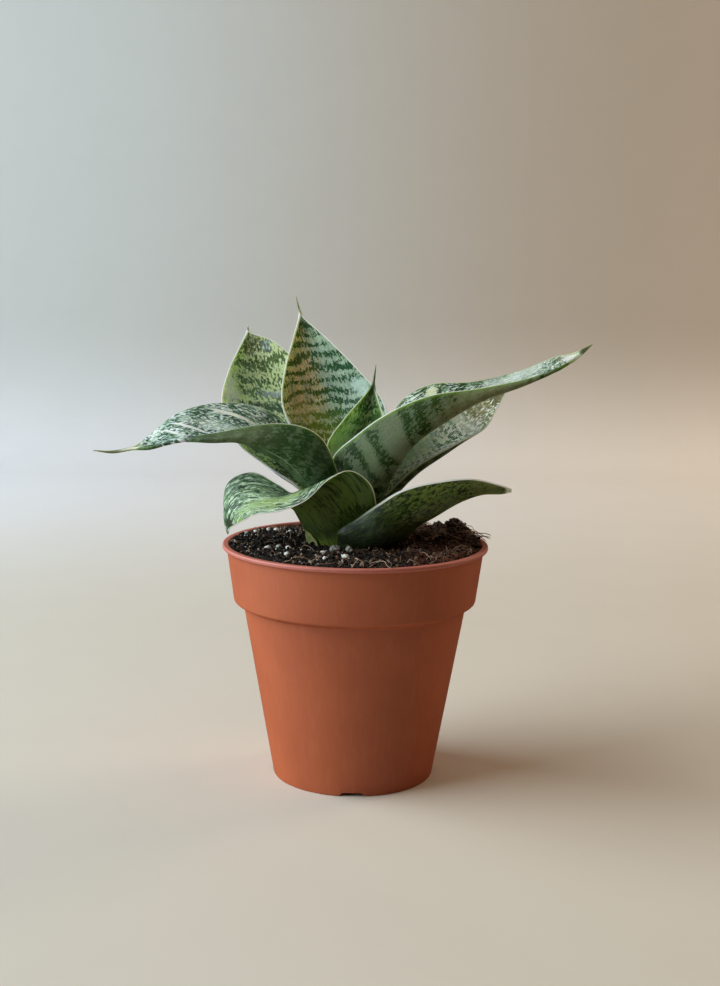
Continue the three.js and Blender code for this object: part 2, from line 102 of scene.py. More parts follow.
class Tree:
    """A material's node tree, with one short method for each kind of node it needs."""

    def __init__(self, name: str) -> None:
        """Starts a material that holds only its output and its surface shader."""
        self.material = bpy.data.materials.new(name)
        self.material.use_nodes = True
        self.nodes = self.material.node_tree.nodes
        self.links = self.material.node_tree.links
        self.nodes.clear()
        self.shader = self.nodes.new("ShaderNodeBsdfPrincipled")
        output = self.nodes.new("ShaderNodeOutputMaterial")
        self.links.new(self.shader.outputs["BSDF"], output.inputs["Surface"])

    def put(self, socket: bpy.types.NodeSocket, value: Number) -> None:
        """Links a socket to another one, or gives it a plain value."""
        if isinstance(value, bpy.types.NodeSocket):
            self.links.new(value, socket)
        else:
            socket.default_value = value

    def set(self, **values: Number) -> None:
        """Sets the shader's sockets, named with underscores for spaces."""
        for name, value in values.items():
            self.put(self.shader.inputs[name.replace("_", " ")], value)

    def maths(self, operation: str, first: Number, second: Number = 0.0) -> bpy.types.NodeSocket:
        """A Math node's result."""
        node = self.nodes.new("ShaderNodeMath")
        node.operation = operation
        self.put(node.inputs[0], first)
        self.put(node.inputs[1], second)
        return node.outputs[0]

    def add(self, first: Number, second: Number) -> bpy.types.NodeSocket:
        """The sum of two numbers."""
        return self.maths("ADD", first, second)

    def times(self, first: Number, second: Number) -> bpy.types.NodeSocket:
        """The product of two numbers."""
        return self.maths("MULTIPLY", first, second)

    def swing(self, source: bpy.types.NodeSocket, reach: float) -> bpy.types.NodeSocket:
        """A noise that runs from 0 to 1, moved to run from -reach to reach."""
        return self.times(self.maths("SUBTRACT", source, 0.5), 2 * reach)

    def blend_in(self, value: Number, low: float, high: float, top: float = 1.0) -> bpy.types.NodeSocket:
        """A smooth step from 0 at one value to a top at another, which may be the lower one.

        Args:
            value: The number to test.
            low: Where the result is 0.
            high: Where the result is the top.
            top: The largest result.

        Returns:
            The socket of the stepped value.
        """
        node = self.nodes.new("ShaderNodeMapRange")
        node.interpolation_type = "SMOOTHSTEP"
        falls = low > high
        self.put(node.inputs["Value"], value)
        node.inputs["From Min"].default_value = min(low, high)
        node.inputs["From Max"].default_value = max(low, high)
        node.inputs["To Min"].default_value = top if falls else 0.0
        node.inputs["To Max"].default_value = 0.0 if falls else top
        return node.outputs["Result"]

    def join(self, x: Number, y: Number, z: Number) -> bpy.types.NodeSocket:
        """A vector from three numbers."""
        node = self.nodes.new("ShaderNodeCombineXYZ")
        for socket, value in zip(node.inputs, (x, y, z)):
            self.put(socket, value)
        return node.outputs[0]

    def split(self, vector: bpy.types.NodeSocket) -> tuple[bpy.types.NodeSocket, ...]:
        """The three numbers of a vector."""
        node = self.nodes.new("ShaderNodeSeparateXYZ")
        self.links.new(vector, node.inputs[0])
        return tuple(node.outputs)

    def place(self) -> bpy.types.NodeSocket:
        """The piece's own coordinates in millimetres."""
        where = self.nodes.new("ShaderNodeTexCoord")
        node = self.nodes.new("ShaderNodeVectorMath")
        node.operation = "SCALE"
        node.inputs["Scale"].default_value = 1 / MM
        self.links.new(where.outputs["Object"], node.inputs[0])
        return node.outputs[0]

    def stretch(self, vector: bpy.types.NodeSocket, scale: Point) -> bpy.types.NodeSocket:
        """A vector multiplied by a scale on each axis."""
        node = self.nodes.new("ShaderNodeVectorMath")
        node.operation = "MULTIPLY"
        self.links.new(vector, node.inputs[0])
        node.inputs[1].default_value = scale
        return node.outputs[0]

    def noise(
        self,
        vector: bpy.types.NodeSocket,
        scale: float,
        detail: float = 2.0,
        roughness: float = 0.5,
        distortion: float = 0.0,
    ) -> bpy.types.NodeSocket:
        """A smooth noise from 0 to 1 at a scale in cells per unit of the vector."""
        node = self.nodes.new("ShaderNodeTexNoise")
        self.links.new(vector, node.inputs["Vector"])
        node.inputs["Scale"].default_value = scale
        node.inputs["Detail"].default_value = detail
        node.inputs["Roughness"].default_value = roughness
        node.inputs["Distortion"].default_value = distortion
        return node.outputs[0]

    def cells(self, vector: bpy.types.NodeSocket, scale: float) -> bpy.types.NodeSocket:
        """The distance to the nearest of a set of scattered points."""
        node = self.nodes.new("ShaderNodeTexVoronoi")
        self.links.new(vector, node.inputs["Vector"])
        node.inputs["Scale"].default_value = scale
        return node.outputs["Distance"]

    def mix(self, share: Number, first: Number | Colour, second: Number | Colour) -> bpy.types.NodeSocket:
        """Two colours mixed: the first at share 0, the second at share 1."""
        node = self.nodes.new("ShaderNodeMix")
        node.data_type = "RGBA"
        self.put(node.inputs["Factor"], share)
        for socket, value in zip((node.inputs[6], node.inputs[7]), (first, second)):
            self.put(socket, linear(value) if isinstance(value, tuple) else value)
        return node.outputs[2]

    def shade(self, share: Number, colour: bpy.types.NodeSocket, value: float) -> bpy.types.NodeSocket:
        """A colour multiplied by a grey value, by a share."""
        node = self.nodes.new("ShaderNodeMix")
        node.data_type = "RGBA"
        node.blend_type = "MULTIPLY"
        self.put(node.inputs["Factor"], share)
        self.links.new(colour, node.inputs[6])
        node.inputs[7].default_value = (value, value, value, 1.0)
        return node.outputs[2]

    def attribute(self, name: str) -> bpy.types.Node:
        """A named attribute of the mesh."""
        node = self.nodes.new("ShaderNodeAttribute")
        node.attribute_name = name
        return node

    def bump(
        self,
        height: bpy.types.NodeSocket,
        depth_mm: float,
        under: bpy.types.NodeSocket | None = None,
    ) -> bpy.types.NodeSocket:
        """A bumped normal, on top of another bump where one is given."""
        node = self.nodes.new("ShaderNodeBump")
        node.inputs["Distance"].default_value = depth_mm * MM
        self.links.new(height, node.inputs["Height"])
        if under is not None:
            self.links.new(under, node.inputs["Normal"])
        return node.outputs[0]


@dataclass(frozen=True)
class PotPlastic:
    """Satin terracotta-coloured polypropylene, with flow marks and specks, and a painted highlight that
    makes the lip paler and pinker.
    """

    body: Colour = (190, 90, 38)
    pale: Colour = (204, 106, 56)
    deep: Colour = (174, 76, 26)
    # The colour of the painted highlight along the rolled lip.
    lip: Colour = (208, 118, 104)
    dust: Colour = (206, 150, 120)
    lip_from_mm: float = 91.7
    lip_fade_mm: float = 0.5
    foot_mm: float = 7.0
    roughness: float = 0.6
    gloss: float = 1.0

    def dress(self) -> bpy.types.Material:
        """Builds the pot's material."""
        tree = Tree("pot_plastic")
        place = tree.place()
        height = tree.split(place)[2]
        cloud = tree.noise(place, 0.03, 3.0)
        flow = tree.noise(tree.stretch(place, (0.6, 0.6, 0.03)), 1.0, 2.0)
        speck = tree.noise(place, 2.6, 3.0, 0.7)
        colour = tree.mix(tree.blend_in(cloud, 0.3, 0.7, 0.6), self.body, self.deep)
        colour = tree.mix(tree.blend_in(flow, 0.45, 0.8, 0.25), colour, self.pale)
        colour = tree.mix(tree.blend_in(speck, 0.55, 0.7, 0.3), colour, self.pale)
        colour = tree.mix(tree.blend_in(speck, 0.42, 0.3, 0.3), colour, self.deep)
        scuff = tree.noise(place, 0.9, 4.0, 0.75)
        colour = tree.mix(tree.blend_in(scuff, 0.7, 0.78, 0.35), colour, self.dust)
        # Painted highlight: the lip above lip_from_mm is mixed towards a paler, pinker colour.
        lip_highlight = tree.blend_in(height, self.lip_from_mm, self.lip_from_mm + self.lip_fade_mm, 0.75)
        colour = tree.mix(lip_highlight, colour, self.lip)
        foot = tree.times(tree.blend_in(height, self.foot_mm, 0.0), tree.blend_in(cloud, 0.35, 0.65, 0.5))
        colour = tree.mix(foot, colour, self.deep)
        tree.set(
            Base_Color=colour,
            Roughness=tree.add(self.roughness, tree.swing(tree.noise(place, 0.35, 3.0), 0.05)),
            Specular_IOR_Level=self.gloss,
            Normal=self.skin(tree, place),
        )
        return tree.material

    @staticmethod
    def skin(tree: Tree, place: bpy.types.NodeSocket) -> bpy.types.NodeSocket:
        """The fine texture of the mould, over slow waves in the wall."""
        waves = tree.bump(tree.noise(tree.stretch(place, (1.0, 1.0, 0.3)), 0.09, 1.0), 0.16)
        return tree.bump(tree.noise(place, 3.2, 3.0, 0.6), 0.018, waves)


class Face(Enum):
    """Which face of a leaf a mark lies on, and the value of the face attribute there."""

    UPPER = 1.0
    UNDER = 0.0
    BOTH = 0.5


@dataclass(frozen=True)
class Patch:
    """A blotch, streak or bar on a leaf, in millimetres from the midrib and from the base; some are the
    leaf's own marks, others painted sheen, highlight or shade.

    Its long axis leans from the leaf's length towards the left margin by an angle in degrees.
    """

    face: Face
    across: float
    along: float
    half_width: float
    half_length: float
    colour: Colour
    strength: float = 0.8
    lean: float = 0.0
    ragged: float = 0.5


@dataclass(frozen=True)
class Bands:
    """One face's ragged cross bands: a dark one speckled deeper, on a light ground with flecks.

    The slant is how far a band runs back along the leaf per millimetre towards the left margin,
    the bow the same per square millimetre.
    """

    dark: Colour
    light: Colour
    fleck: Colour
    deep: Colour = (26, 44, 22)
    pitch_mm: float = 6.0
    start_mm: float = 0.0
    light_share: float = 0.5
    banding: float = 0.5
    soft: float = 0.1
    wave_mm: float = 2.4
    clump_mm: float = 0.6
    speckle: float = 1.6
    dash: float = 0.6
    streak: float = 0.5
    uneven: float = 0.9
    lines: float = 0.0
    slant: float = 0.0
    bow: float = 0.0
    fleck_strength: float = 0.6
    deep_strength: float = 0.7
    # Colours for the left half: on some leaves its own tone, on others painted light on the side the light
    # falls on.
    left_dark: Colour | None = None
    left_light: Colour | None = None
    left_from_mm: float = -3.0
    left_to_mm: float = 6.0
    left_ragged_mm: float = 8.0

    def colour(self, tree: Tree, blade: BladeNoise) -> bpy.types.NodeSocket:
        """Builds the face's colour.

        Args:
            tree: The leaf's node tree.
            blade: The leaf's coordinates and the noises laid out on them.

        Returns:
            The colour's socket.
        """
        bowed = tree.times(blade.across, tree.add(self.slant, tree.times(blade.across, self.bow)))
        run = tree.add(tree.add(blade.along, self.start_mm), bowed)
        run = tree.add(run, tree.swing(blade.wave, self.wave_mm * 2))
        run = tree.add(run, tree.swing(blade.clump, self.clump_mm * 2))
        level = tree.times(tree.maths("SINE", tree.times(run, 2 * math.pi / self.pitch_mm)), self.banding)
        sources = (blade.speck, blade.dash, blade.streak, blade.uneven)
        for source, reach in zip(sources, (self.speckle, self.dash, self.streak, self.uneven)):
            level = tree.add(level, tree.swing(source, reach))
        middle = 0.5 - self.light_share
        band = tree.blend_in(level, middle - self.soft, middle + self.soft)
        lined = tree.add(blade.fine, tree.swing(blade.hair, self.lines))
        deeper = tree.blend_in(lined, 0.46, 0.6, self.deep_strength)
        flecked = tree.blend_in(tree.add(blade.hair, tree.swing(blade.speck, 0.5)), 0.46, 0.62)
        flecked = tree.times(flecked, self.fleck_strength)
        place = tree.add(blade.across, tree.swing(blade.clump, self.left_ragged_mm))
        left = tree.blend_in(place, self.left_from_mm, self.left_to_mm)
        dark = tree.mix(left, self.dark, self.left_dark or self.dark)
        light = tree.mix(left, self.light, self.left_light or self.light)
        dark = tree.mix(deeper, dark, self.deep)
        return tree.mix(band, dark, tree.mix(flecked, light, self.fleck))


class BladeNoise:
    """A leaf's own coordinates in millimetres, and the noises that all its marks share."""

    def __init__(self, tree: Tree, seed: float, lean: float = 0.0) -> None:
        """Reads the mesh's attributes and lays the noises out on them.

        Args:
            tree: The leaf's node tree.
            seed: Picks the leaf's own stretch of each noise.
            lean: How far the streaks run towards the right margin per millimetre along the leaf.
        """
        self.across, self.along, self.rim = tree.split(tree.attribute("blade").outputs["Vector"])
        self.face = tree.attribute("face").outputs["Fac"]
        flat = tree.join(self.across, self.along, seed)
        leant = tree.join(tree.add(self.across, tree.times(self.along, lean)), self.along, seed)
        self.speck = tree.noise(tree.stretch(flat, (1.0, 0.7, 1.0)), 1.0, 2.0, 0.6)
        self.fine = tree.noise(tree.stretch(flat, (1.0, 0.6, 2.0)), 1.7, 2.0, 0.6)
        self.dash = tree.noise(tree.stretch(leant, (1.0, 0.36, 1.7)), 1.4, 1.5, 0.5, 0.5)
        self.streak = tree.noise(tree.stretch(leant, (1.0, 0.13, 1.0)), 1.25, 2.0, 0.5, 0.8)
        self.hair = tree.noise(tree.stretch(leant, (1.0, 0.07, 3.0)), 1.7, 1.0, 0.5, 0.4)
        self.clump = tree.noise(tree.stretch(flat, (1.0, 0.7, 1.0)), 0.38, 2.0)
        self.wave = tree.noise(tree.stretch(flat, (1.0, 0.8, 3.0)), 0.09, 2.0)
        self.uneven = tree.noise(tree.stretch(flat, (0.4, 1.0, 5.0)), 0.13, 2.0)
        self.cloud = tree.noise(tree.stretch(flat, (1.0, 0.6, 7.0)), 0.085, 3.0)


@dataclass(frozen=True)
class LeafSkin:
    """A waxy variegated leaf: banded faces, marks, a lime base, a dry tip and a hard cream margin; some
    marks, and on some leaves the base and one side, are painted sheen, light or shade.
    """

    name: str
    upper: Bands
    under: Bands
    length_mm: float
    patches: tuple[Patch, ...] = ()
    margin: Colour = (232, 234, 216)
    margin_mm: float = 0.42
    margin_soft_mm: float = 0.12
    # Below margin_from_mm the cream margin fades out towards the base: painted shade, for the rosette's
    # shade over the leaf bases.
    margin_from_mm: float = 30.0
    margin_fade_mm: float = 8.0
    inner_margin: Colour = (118, 150, 60)
    inner_margin_mm: float = 1.6
    inner_margin_strength: float = 0.35
    base: Colour = (128, 150, 62)
    base_mm: float = 30.0
    tip: Colour = (74, 66, 44)
    tip_mm: float = 6.0
    tip_strength: float = 0.9
    bloom: Colour = (150, 172, 166)
    bloom_strength: float = 0.1
    roughness: float = 0.42
    gloss: float = 0.3
    glow: float = 0.5
    glow_reach: Point = (0.8, 1.0, 0.35)
    glow_mm: float = 3.0
    seed: float = 0.0
    lean: float = 0.0

    def dress(self) -> bpy.types.Material:
        """Builds the leaf's material."""
        tree = Tree(self.name)
        blade = BladeNoise(tree, self.seed, self.lean)
        under = self.under.colour(tree, blade)
        upper = self.upper.colour(tree, blade)
        colour = tree.mix(tree.blend_in(blade.face, *UNDER_TO_UPPER), under, upper)
        for patch in self.patches:
            colour = self.mark(tree, blade, patch, colour)
        colour = tree.shade(tree.blend_in(blade.cloud, 0.5, 0.3, 0.3), colour, 0.6)
        colour = tree.shade(tree.blend_in(blade.fine, 0.5, 0.36, 0.4), colour, 0.55)
        colour = tree.mix(tree.blend_in(blade.cloud, 0.5, 0.75, self.bloom_strength), colour, self.bloom)
        base = tree.add(blade.along, tree.swing(blade.streak, 12.0))
        colour = tree.mix(tree.blend_in(base, self.base_mm, self.base_mm * 0.45, 0.85), colour, self.base)
        inner = tree.add(blade.rim, tree.swing(blade.speck, 1.2))
        inner = tree.blend_in(inner, self.inner_margin_mm, 0.3, self.inner_margin_strength)
        colour = tree.mix(inner, colour, self.inner_margin)
        reach = tree.add(blade.along, tree.swing(blade.wave, 1.5))
        tip_from, tip_to = self.length_mm - self.tip_mm, self.length_mm - self.tip_mm * 0.6
        tip = tree.blend_in(reach, tip_from, tip_to, self.tip_strength)
        edge = tree.add(blade.rim, tree.swing(blade.wave, 0.18))
        soft = self.margin_soft_mm
        rim = tree.blend_in(edge, self.margin_mm + soft, self.margin_mm - soft, 0.95)
        rim = tree.times(rim, tree.maths("SUBTRACT", 1.0, tip))
        # Painted shade: the margin is faded out towards the leaf's base.
        fade = self.margin_fade_mm
        shown = tree.blend_in(blade.along, self.margin_from_mm - fade, self.margin_from_mm + fade)
        colour = tree.mix(tree.times(rim, shown), tree.mix(tip, colour, self.tip), self.margin)
        tree.set(
            Base_Color=colour,
            Roughness=tree.add(self.roughness, tree.swing(blade.speck, 0.16)),
            Specular_IOR_Level=self.gloss,
            Subsurface_Weight=self.glow,
            Subsurface_Radius=self.glow_reach,
            Subsurface_Scale=self.glow_mm * MM,
            Normal=self.ribs(tree, blade),
        )
        return tree.material

    @staticmethod
    def mark(
        tree: Tree, blade: BladeNoise, patch: Patch, colour: bpy.types.NodeSocket
    ) -> bpy.types.NodeSocket:
        """Lays one patch over a leaf's colour."""
        node = tree.nodes.new("ShaderNodeMapping")
        node.vector_type = "TEXTURE"
        tree.links.new(tree.join(blade.across, blade.along, 0.0), node.inputs["Vector"])
        node.inputs["Location"].default_value = (patch.across, patch.along, 0.0)
        node.inputs["Rotation"].default_value = (0.0, 0.0, -math.radians(patch.lean))
        node.inputs["Scale"].default_value = (patch.half_width, patch.half_length, 1.0)
        length = tree.nodes.new("ShaderNodeVectorMath")
        length.operation = "LENGTH"
        tree.links.new(node.outputs[0], length.inputs[0])
        ragged = tree.swing(blade.speck, patch.ragged * 2.4)
        ragged = tree.add(ragged, tree.swing(blade.streak, patch.ragged))
        share = tree.blend_in(tree.add(length.outputs["Value"], ragged), 1.2, 0.7, patch.strength)
        if patch.face is not Face.BOTH:
            steps = UNDER_TO_UPPER if patch.face is Face.UPPER else reversed(UNDER_TO_UPPER)
            share = tree.times(share, tree.blend_in(blade.face, *steps))
        return tree.mix(share, colour, patch.colour)

    @staticmethod
    def ribs(tree: Tree, blade: BladeNoise) -> bpy.types.NodeSocket:
        """Fine lengthwise ribs over slow waves in the blade."""
        slow = tree.bump(blade.cloud, 0.35)
        ribs = tree.bump(blade.streak, 0.14, slow)
        return tree.bump(blade.fine, 0.04, ribs)


@dataclass(frozen=True)
class ScaleSkin:
    """A papery scale leaf, pale green-yellow with brown veins."""

    pale: Colour = (176, 178, 112)
    green: Colour = (112, 132, 62)
    vein: Colour = (110, 92, 56)

    def dress(self) -> bpy.types.Material:
        """Builds the scale's material."""
        tree = Tree("scale_skin")
        blade = BladeNoise(tree, 4.7)
        colour = tree.mix(tree.blend_in(blade.streak, 0.4, 0.62), self.green, self.pale)
        colour = tree.mix(tree.blend_in(blade.hair, 0.55, 0.7, 0.6), colour, self.vein)
        colour = tree.mix(tree.blend_in(blade.rim, 1.4, 0.2, 0.5), colour, self.pale)
        tree.set(Base_Color=colour, Roughness=0.6, Normal=LeafSkin.ribs(tree, blade))
        return tree.material


@dataclass(frozen=True)
class MixFinish:
    """Damp potting mix, near black with brown crumbs, and rustier on the right.

    The tone attribute picks a crumb's colour.
    """

    name: str
    black: Colour = (26, 23, 20)
    brown: Colour = (66, 44, 32)
    tan: Colour = (134, 104, 78)
    rust: Colour = (104, 58, 40)
    has_tone: bool = True

    def dress(self) -> bpy.types.Material:
        """Builds the mix's material."""
        tree = Tree(self.name)
        place = tree.place()
        grain = tree.noise(place, 1.6, 4.0, 0.7)
        side = tree.blend_in(tree.split(place)[0], -8.0, 34.0, 0.5)
        tone = tree.attribute("tone").outputs["Fac"] if self.has_tone else tree.noise(place, 0.7, 3.0)
        warm = tree.add(tone, tree.times(side, 0.5))
        colour = tree.mix(tree.blend_in(warm, 0.45, 0.95), self.black, self.brown)
        rusty = tree.times(tree.blend_in(side, 0.3, 0.5), tree.blend_in(tone, 0.3, 0.6))
        colour = tree.mix(rusty, colour, self.rust)
        colour = tree.mix(tree.blend_in(tone, 0.84, 0.95), colour, self.tan)
        colour = tree.mix(tree.blend_in(grain, 0.55, 0.75, 0.35), colour, self.tan)
        colour = tree.shade(tree.blend_in(grain, 0.5, 0.3, 0.7), colour, 0.4)
        tree.set(
            Base_Color=colour,
            Roughness=0.86,
            Specular_IOR_Level=0.3,
            Normal=tree.bump(tree.noise(place, 3.0, 4.0, 0.7), 0.25),
        )
        return tree.material


@dataclass(frozen=True)
class GrainFinish:
    """A mineral or bark grain: two tones, pits and a little soil in its hollows."""

    name: str
    pale: Colour
    dark: Colour
    dirt: Colour = (60, 52, 44)
    pit_scale: float = 2.6
    pit_mm: float = 0.18
    dirt_strength: float = 0.5

    def dress(self) -> bpy.types.Material:
        """Builds the grain's material."""
        tree = Tree(self.name)
        place = tree.place()
        tone = tree.noise(place, 1.1, 3.0)
        pits = tree.cells(place, self.pit_scale)
        colour = tree.mix(tree.blend_in(tone, 0.38, 0.64), self.dark, self.pale)
        colour = tree.mix(tree.blend_in(pits, 0.28, 0.08, self.dirt_strength), colour, self.dirt)
        tree.set(Base_Color=colour, Roughness=0.85, Normal=tree.bump(pits, self.pit_mm))
        return tree.material


@dataclass(frozen=True)
class FibreFinish:
    """Coir and root fibres, from dark brown to straw by the tone attribute."""

    dark: Colour = (70, 48, 34)
    straw: Colour = (206, 174, 146)

    def dress(self) -> bpy.types.Material:
        """Builds the fibres' material."""
        tree = Tree("coir_fibre")
        tone = tree.attribute("tone").outputs["Fac"]
        streak = tree.noise(tree.place(), 2.4, 2.0)
        share = tree.add(tree.times(tone, 0.8), tree.swing(streak, 0.2))
        tree.set(
            Base_Color=tree.mix(tree.blend_in(share, 0.1, 0.9), self.dark, self.straw),
            Roughness=0.7,
            Normal=tree.bump(streak, 0.04),
        )
        return tree.material


@dataclass(frozen=True)
class CrownFinish:
    """The buried rhizome: dull tan, with rings and root scars."""

    pale: Colour = (190, 168, 128)
    scar: Colour = (108, 82, 56)

    def dress(self) -> bpy.types.Material:
        """Builds the crown's material."""
        tree = Tree("crown_skin")
        place = tree.place()
        rings = tree.noise(tree.stretch(place, (0.2, 0.2, 1.0)), 0.6, 3.0)
        colour = tree.mix(tree.blend_in(rings, 0.42, 0.62), self.scar, self.pale)
        tree.set(Base_Color=colour, Roughness=0.8, Normal=tree.bump(rings, 0.5))
        return tree.material


@dataclass(frozen=True)
class PaperSweep:
    """The pale seamless paper that the pot stands on, with painted light: cool on the left, warm on the
    right.

    Its painted tone changes along the run of the paper, measured in millimetres as Y plus Z: brighter on
    the far floor, darker up the wall.
    """

    # The colours of the paper's painted light, by side and by run.
    cool: Colour = (210, 206, 196)
    warm: Colour = (230, 216, 197)
    far_cool: Colour = (234, 236, 241)
    far_warm: Colour = (246, 235, 222)
    wall_cool: Colour = (198, 201, 198)
    wall_warm: Colour = (186, 172, 156)
    side_mm: float = 380.0
    far_from_mm: float = 200.0
    far_to_mm: float = 800.0
    wall_from_mm: float = 900.0
    wall_to_mm: float = 1350.0

    def dress(self) -> bpy.types.Material:
        """Builds the paper's material."""
        tree = Tree("paper_sweep")
        place = tree.place()
        x, y, z = tree.split(place)
        run = tree.add(y, z)
        # Painted light: cool on the left, warm on the right.
        side = tree.blend_in(x, -self.side_mm, self.side_mm)
        near = tree.mix(side, self.cool, self.warm)
        far = tree.mix(side, self.far_cool, self.far_warm)
        wall = tree.mix(side, self.wall_cool, self.wall_warm)
        # Painted light: brighter on the far floor, darker up the wall.
        colour = tree.mix(tree.blend_in(run, self.far_from_mm, self.far_to_mm), near, far)
        colour = tree.mix(tree.blend_in(run, self.wall_from_mm, self.wall_to_mm), colour, wall)
        colour = tree.shade(tree.blend_in(tree.noise(place, 0.02, 3.0), 0.55, 0.4, 0.08), colour, 0.9)
        tree.set(
            Base_Color=colour,
            Roughness=0.8,
            Specular_IOR_Level=0.15,
            Normal=tree.bump(tree.noise(place, 0.6, 3.0), 0.03),
        )
        return tree.material


Finish = (
    PotPlastic | LeafSkin | ScaleSkin | MixFinish | GrainFinish | FibreFinish | CrownFinish | PaperSweep
)


# ---------------------------------------------------------------------------------------------
# Mesh helpers
# ---------------------------------------------------------------------------------------------


def close_up(bm: bmesh.types.BMesh) -> None:
    """Welds a shell's seams and poles, and turns its faces outwards."""
    bmesh.ops.remove_doubles(bm, verts=bm.verts, dist=WELD)
    bmesh.ops.recalc_face_normals(bm, faces=bm.faces)


def to_piece(
    name: str, bm: bmesh.types.BMesh, finish: Finish, sharp_degrees: float | None = None
) -> bpy.types.Object:
    """Turns a bmesh in metres into a smooth-shaded, dressed object at the origin.

    Args:
        name: The object's name.
        bm: The mesh, which is freed.
        finish: The finish that dresses it.
        sharp_degrees: Edges that bend more than this stay sharp; none do if it is None.

    Returns:
        The new object.
    """
    mesh = bpy.data.meshes.new(name)
    bm.to_mesh(mesh)
    bm.free()
    mesh.shade_smooth()
    if sharp_degrees is not None:
        mesh.set_sharp_from_angle(angle=math.radians(sharp_degrees))
    mesh.materials.append(finish.dress())
    piece = bpy.data.objects.new(name, mesh)
    bpy.context.scene.collection.objects.link(piece)
    return piece


def hand_over(piece: bpy.types.Object, nodes: Iterable[str] = ()) -> None:
    """Makes a piece ride with the pot, hides the nodes it stands for and logs them."""
    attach(piece, BODY)
    names = list(nodes)
    if names:
        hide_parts(*names)
    LOG.info("%s: %d faces, stands for %s", piece.name, len(piece.data.polygons), names or "nothing")


def spun(profile: Sequence[Pair], steps: int) -> bmesh.types.BMesh:
    """Spins an open profile of [radius, height] pairs in millimetres into a closed shell."""
    bm = bmesh.new()
    verts = [bm.verts.new((radius * MM, 0.0, height * MM)) for radius, height in profile]
    edges = [bm.edges.new(pair) for pair in zip(verts, verts[1:])]
    centre, axis, geom = (0, 0, 0), (0, 0, 1), [*verts, *edges]
    bmesh.ops.spin(bm, geom=geom, cent=centre, axis=axis, angle=math.tau, steps=steps, use_merge=True)
    close_up(bm)
    return bm


@dataclass(frozen=True)
class Corner:
    """A corner of a profile, rounded to a radius; a radius of 0 leaves it as it is."""

    radius: float
    height: float
    round: float = 0.0


def rounded(corners: Sequence[Corner], steps: int = 5, hold: float = 0.35) -> list[Pair]:
    """Rounds a profile's corners, with a point held close to each end of an arc.

    Args:
        corners: The profile's corners in order.
        steps: How many spans each arc has.
        hold: How far past an arc's end the held point lies, in millimetres.

    Returns:
        The profile's points as [radius, height] pairs.
    """
    points: list[Pair] = []
    for index, corner in enumerate(corners):
        here = Vector((corner.radius, corner.height))
        if not corner.round or index in (0, len(corners) - 1):
            points.append(tuple(here))
            continue
        back = Vector((corners[index - 1].radius, corners[index - 1].height)) - here
        ahead = Vector((corners[index + 1].radius, corners[index + 1].height)) - here
        half = back.angle(ahead) / 2
        reach = min(corner.round / math.tan(half), back.length * 0.45, ahead.length * 0.45)
        radius = reach * math.tan(half)
        centre = here + (back.normalized() + ahead.normalized()).normalized() * (radius / math.sin(half))
        start = here + back.normalized() * reach - centre
        end = here + ahead.normalized() * reach - centre
        held = min(hold, back.length - reach, ahead.length - reach) * 0.9
        points.append(tuple(here + back.normalized() * (reach + held)))
        for step in range(steps + 1):
            share = step / steps
            total = start.angle(end)
            a = math.sin((1 - share) * total) / math.sin(total)
            b = math.sin(share * total) / math.sin(total)
            points.append(tuple(centre + start * a + end * b))
        points.append(tuple(here + ahead.normalized() * (reach + held)))
    return points


class Heap:
    """Gathers many small shapes into one mesh by batches, so that no operator walks through them all."""

    batch = 50

    def __init__(self) -> None:
        """Starts an empty heap."""
        self.whole = bmesh.new()
        self.whole.verts.layers.float.new("tone")
        self.start_batch()

    def start_batch(self) -> None:
        """Opens the next batch."""
        self.held = 0
        self.part = bmesh.new()
        self.tone = self.part.verts.layers.float.new("tone")

    def keep(self, verts: Iterable[bmesh.types.BMVert], tone: float) -> None:
        """Gives a shape just made in the batch its tone, and closes the batch if it is full."""
        for vert in verts:
            vert[self.tone] = tone
        self.held += 1
        if self.held == self.batch:
            self.close_batch()

    def close_batch(self) -> None:
        """Moves the batch into the whole heap."""
        mesh = bpy.data.meshes.new("batch")
        self.part.to_mesh(mesh)
        self.part.free()
        self.whole.from_mesh(mesh)
        bpy.data.meshes.remove(mesh)
        self.start_batch()

    def take(self) -> bmesh.types.BMesh:
        """The whole heap as one bmesh, with its faces turned outwards."""
        self.close_batch()
        self.part.free()
        bmesh.ops.recalc_face_normals(self.whole, faces=self.whole.faces)
        return self.whole


def strand(
    bm: bmesh.types.BMesh, path: Callable[[float], Vector], thick: float
) -> list[bmesh.types.BMVert]:
    """Wraps a grid round a path into a closed strand, tapered to a point at both ends.

    Args:
        bm: The mesh that the strand is added to.
        path: The path's point in metres at a share of its length.
        thick: The strand's radius in metres.

    Returns:
        The strand's vertices.
    """
    sides, rings, taper, step = 4, 9, 8, 1e-3
    made = bmesh.ops.create_grid(bm, x_segments=sides, y_segments=rings, size=1.0)
    for vert in made["verts"]:
        share = (vert.co.y + 1) / 2
        turn = -math.pi * vert.co.x
        ahead = (path(min(share + step, 1.0)) - path(max(share - step, 0.0))).normalized()
        side = ahead.cross(Vector((0.3, 0.2, 1.0))).normalized()
        up = side.cross(ahead)
        radius = thick * min(1.0, taper * share, taper * (1 - share))
        vert.co = path(share) + (side * math.cos(turn) + up * math.sin(turn)) * radius
    bmesh.ops.remove_doubles(bm, verts=made["verts"], dist=FINE_WELD)
    return [vert for vert in made["verts"] if vert.is_valid]


# ---------------------------------------------------------------------------------------------
# Pot
# ---------------------------------------------------------------------------------------------


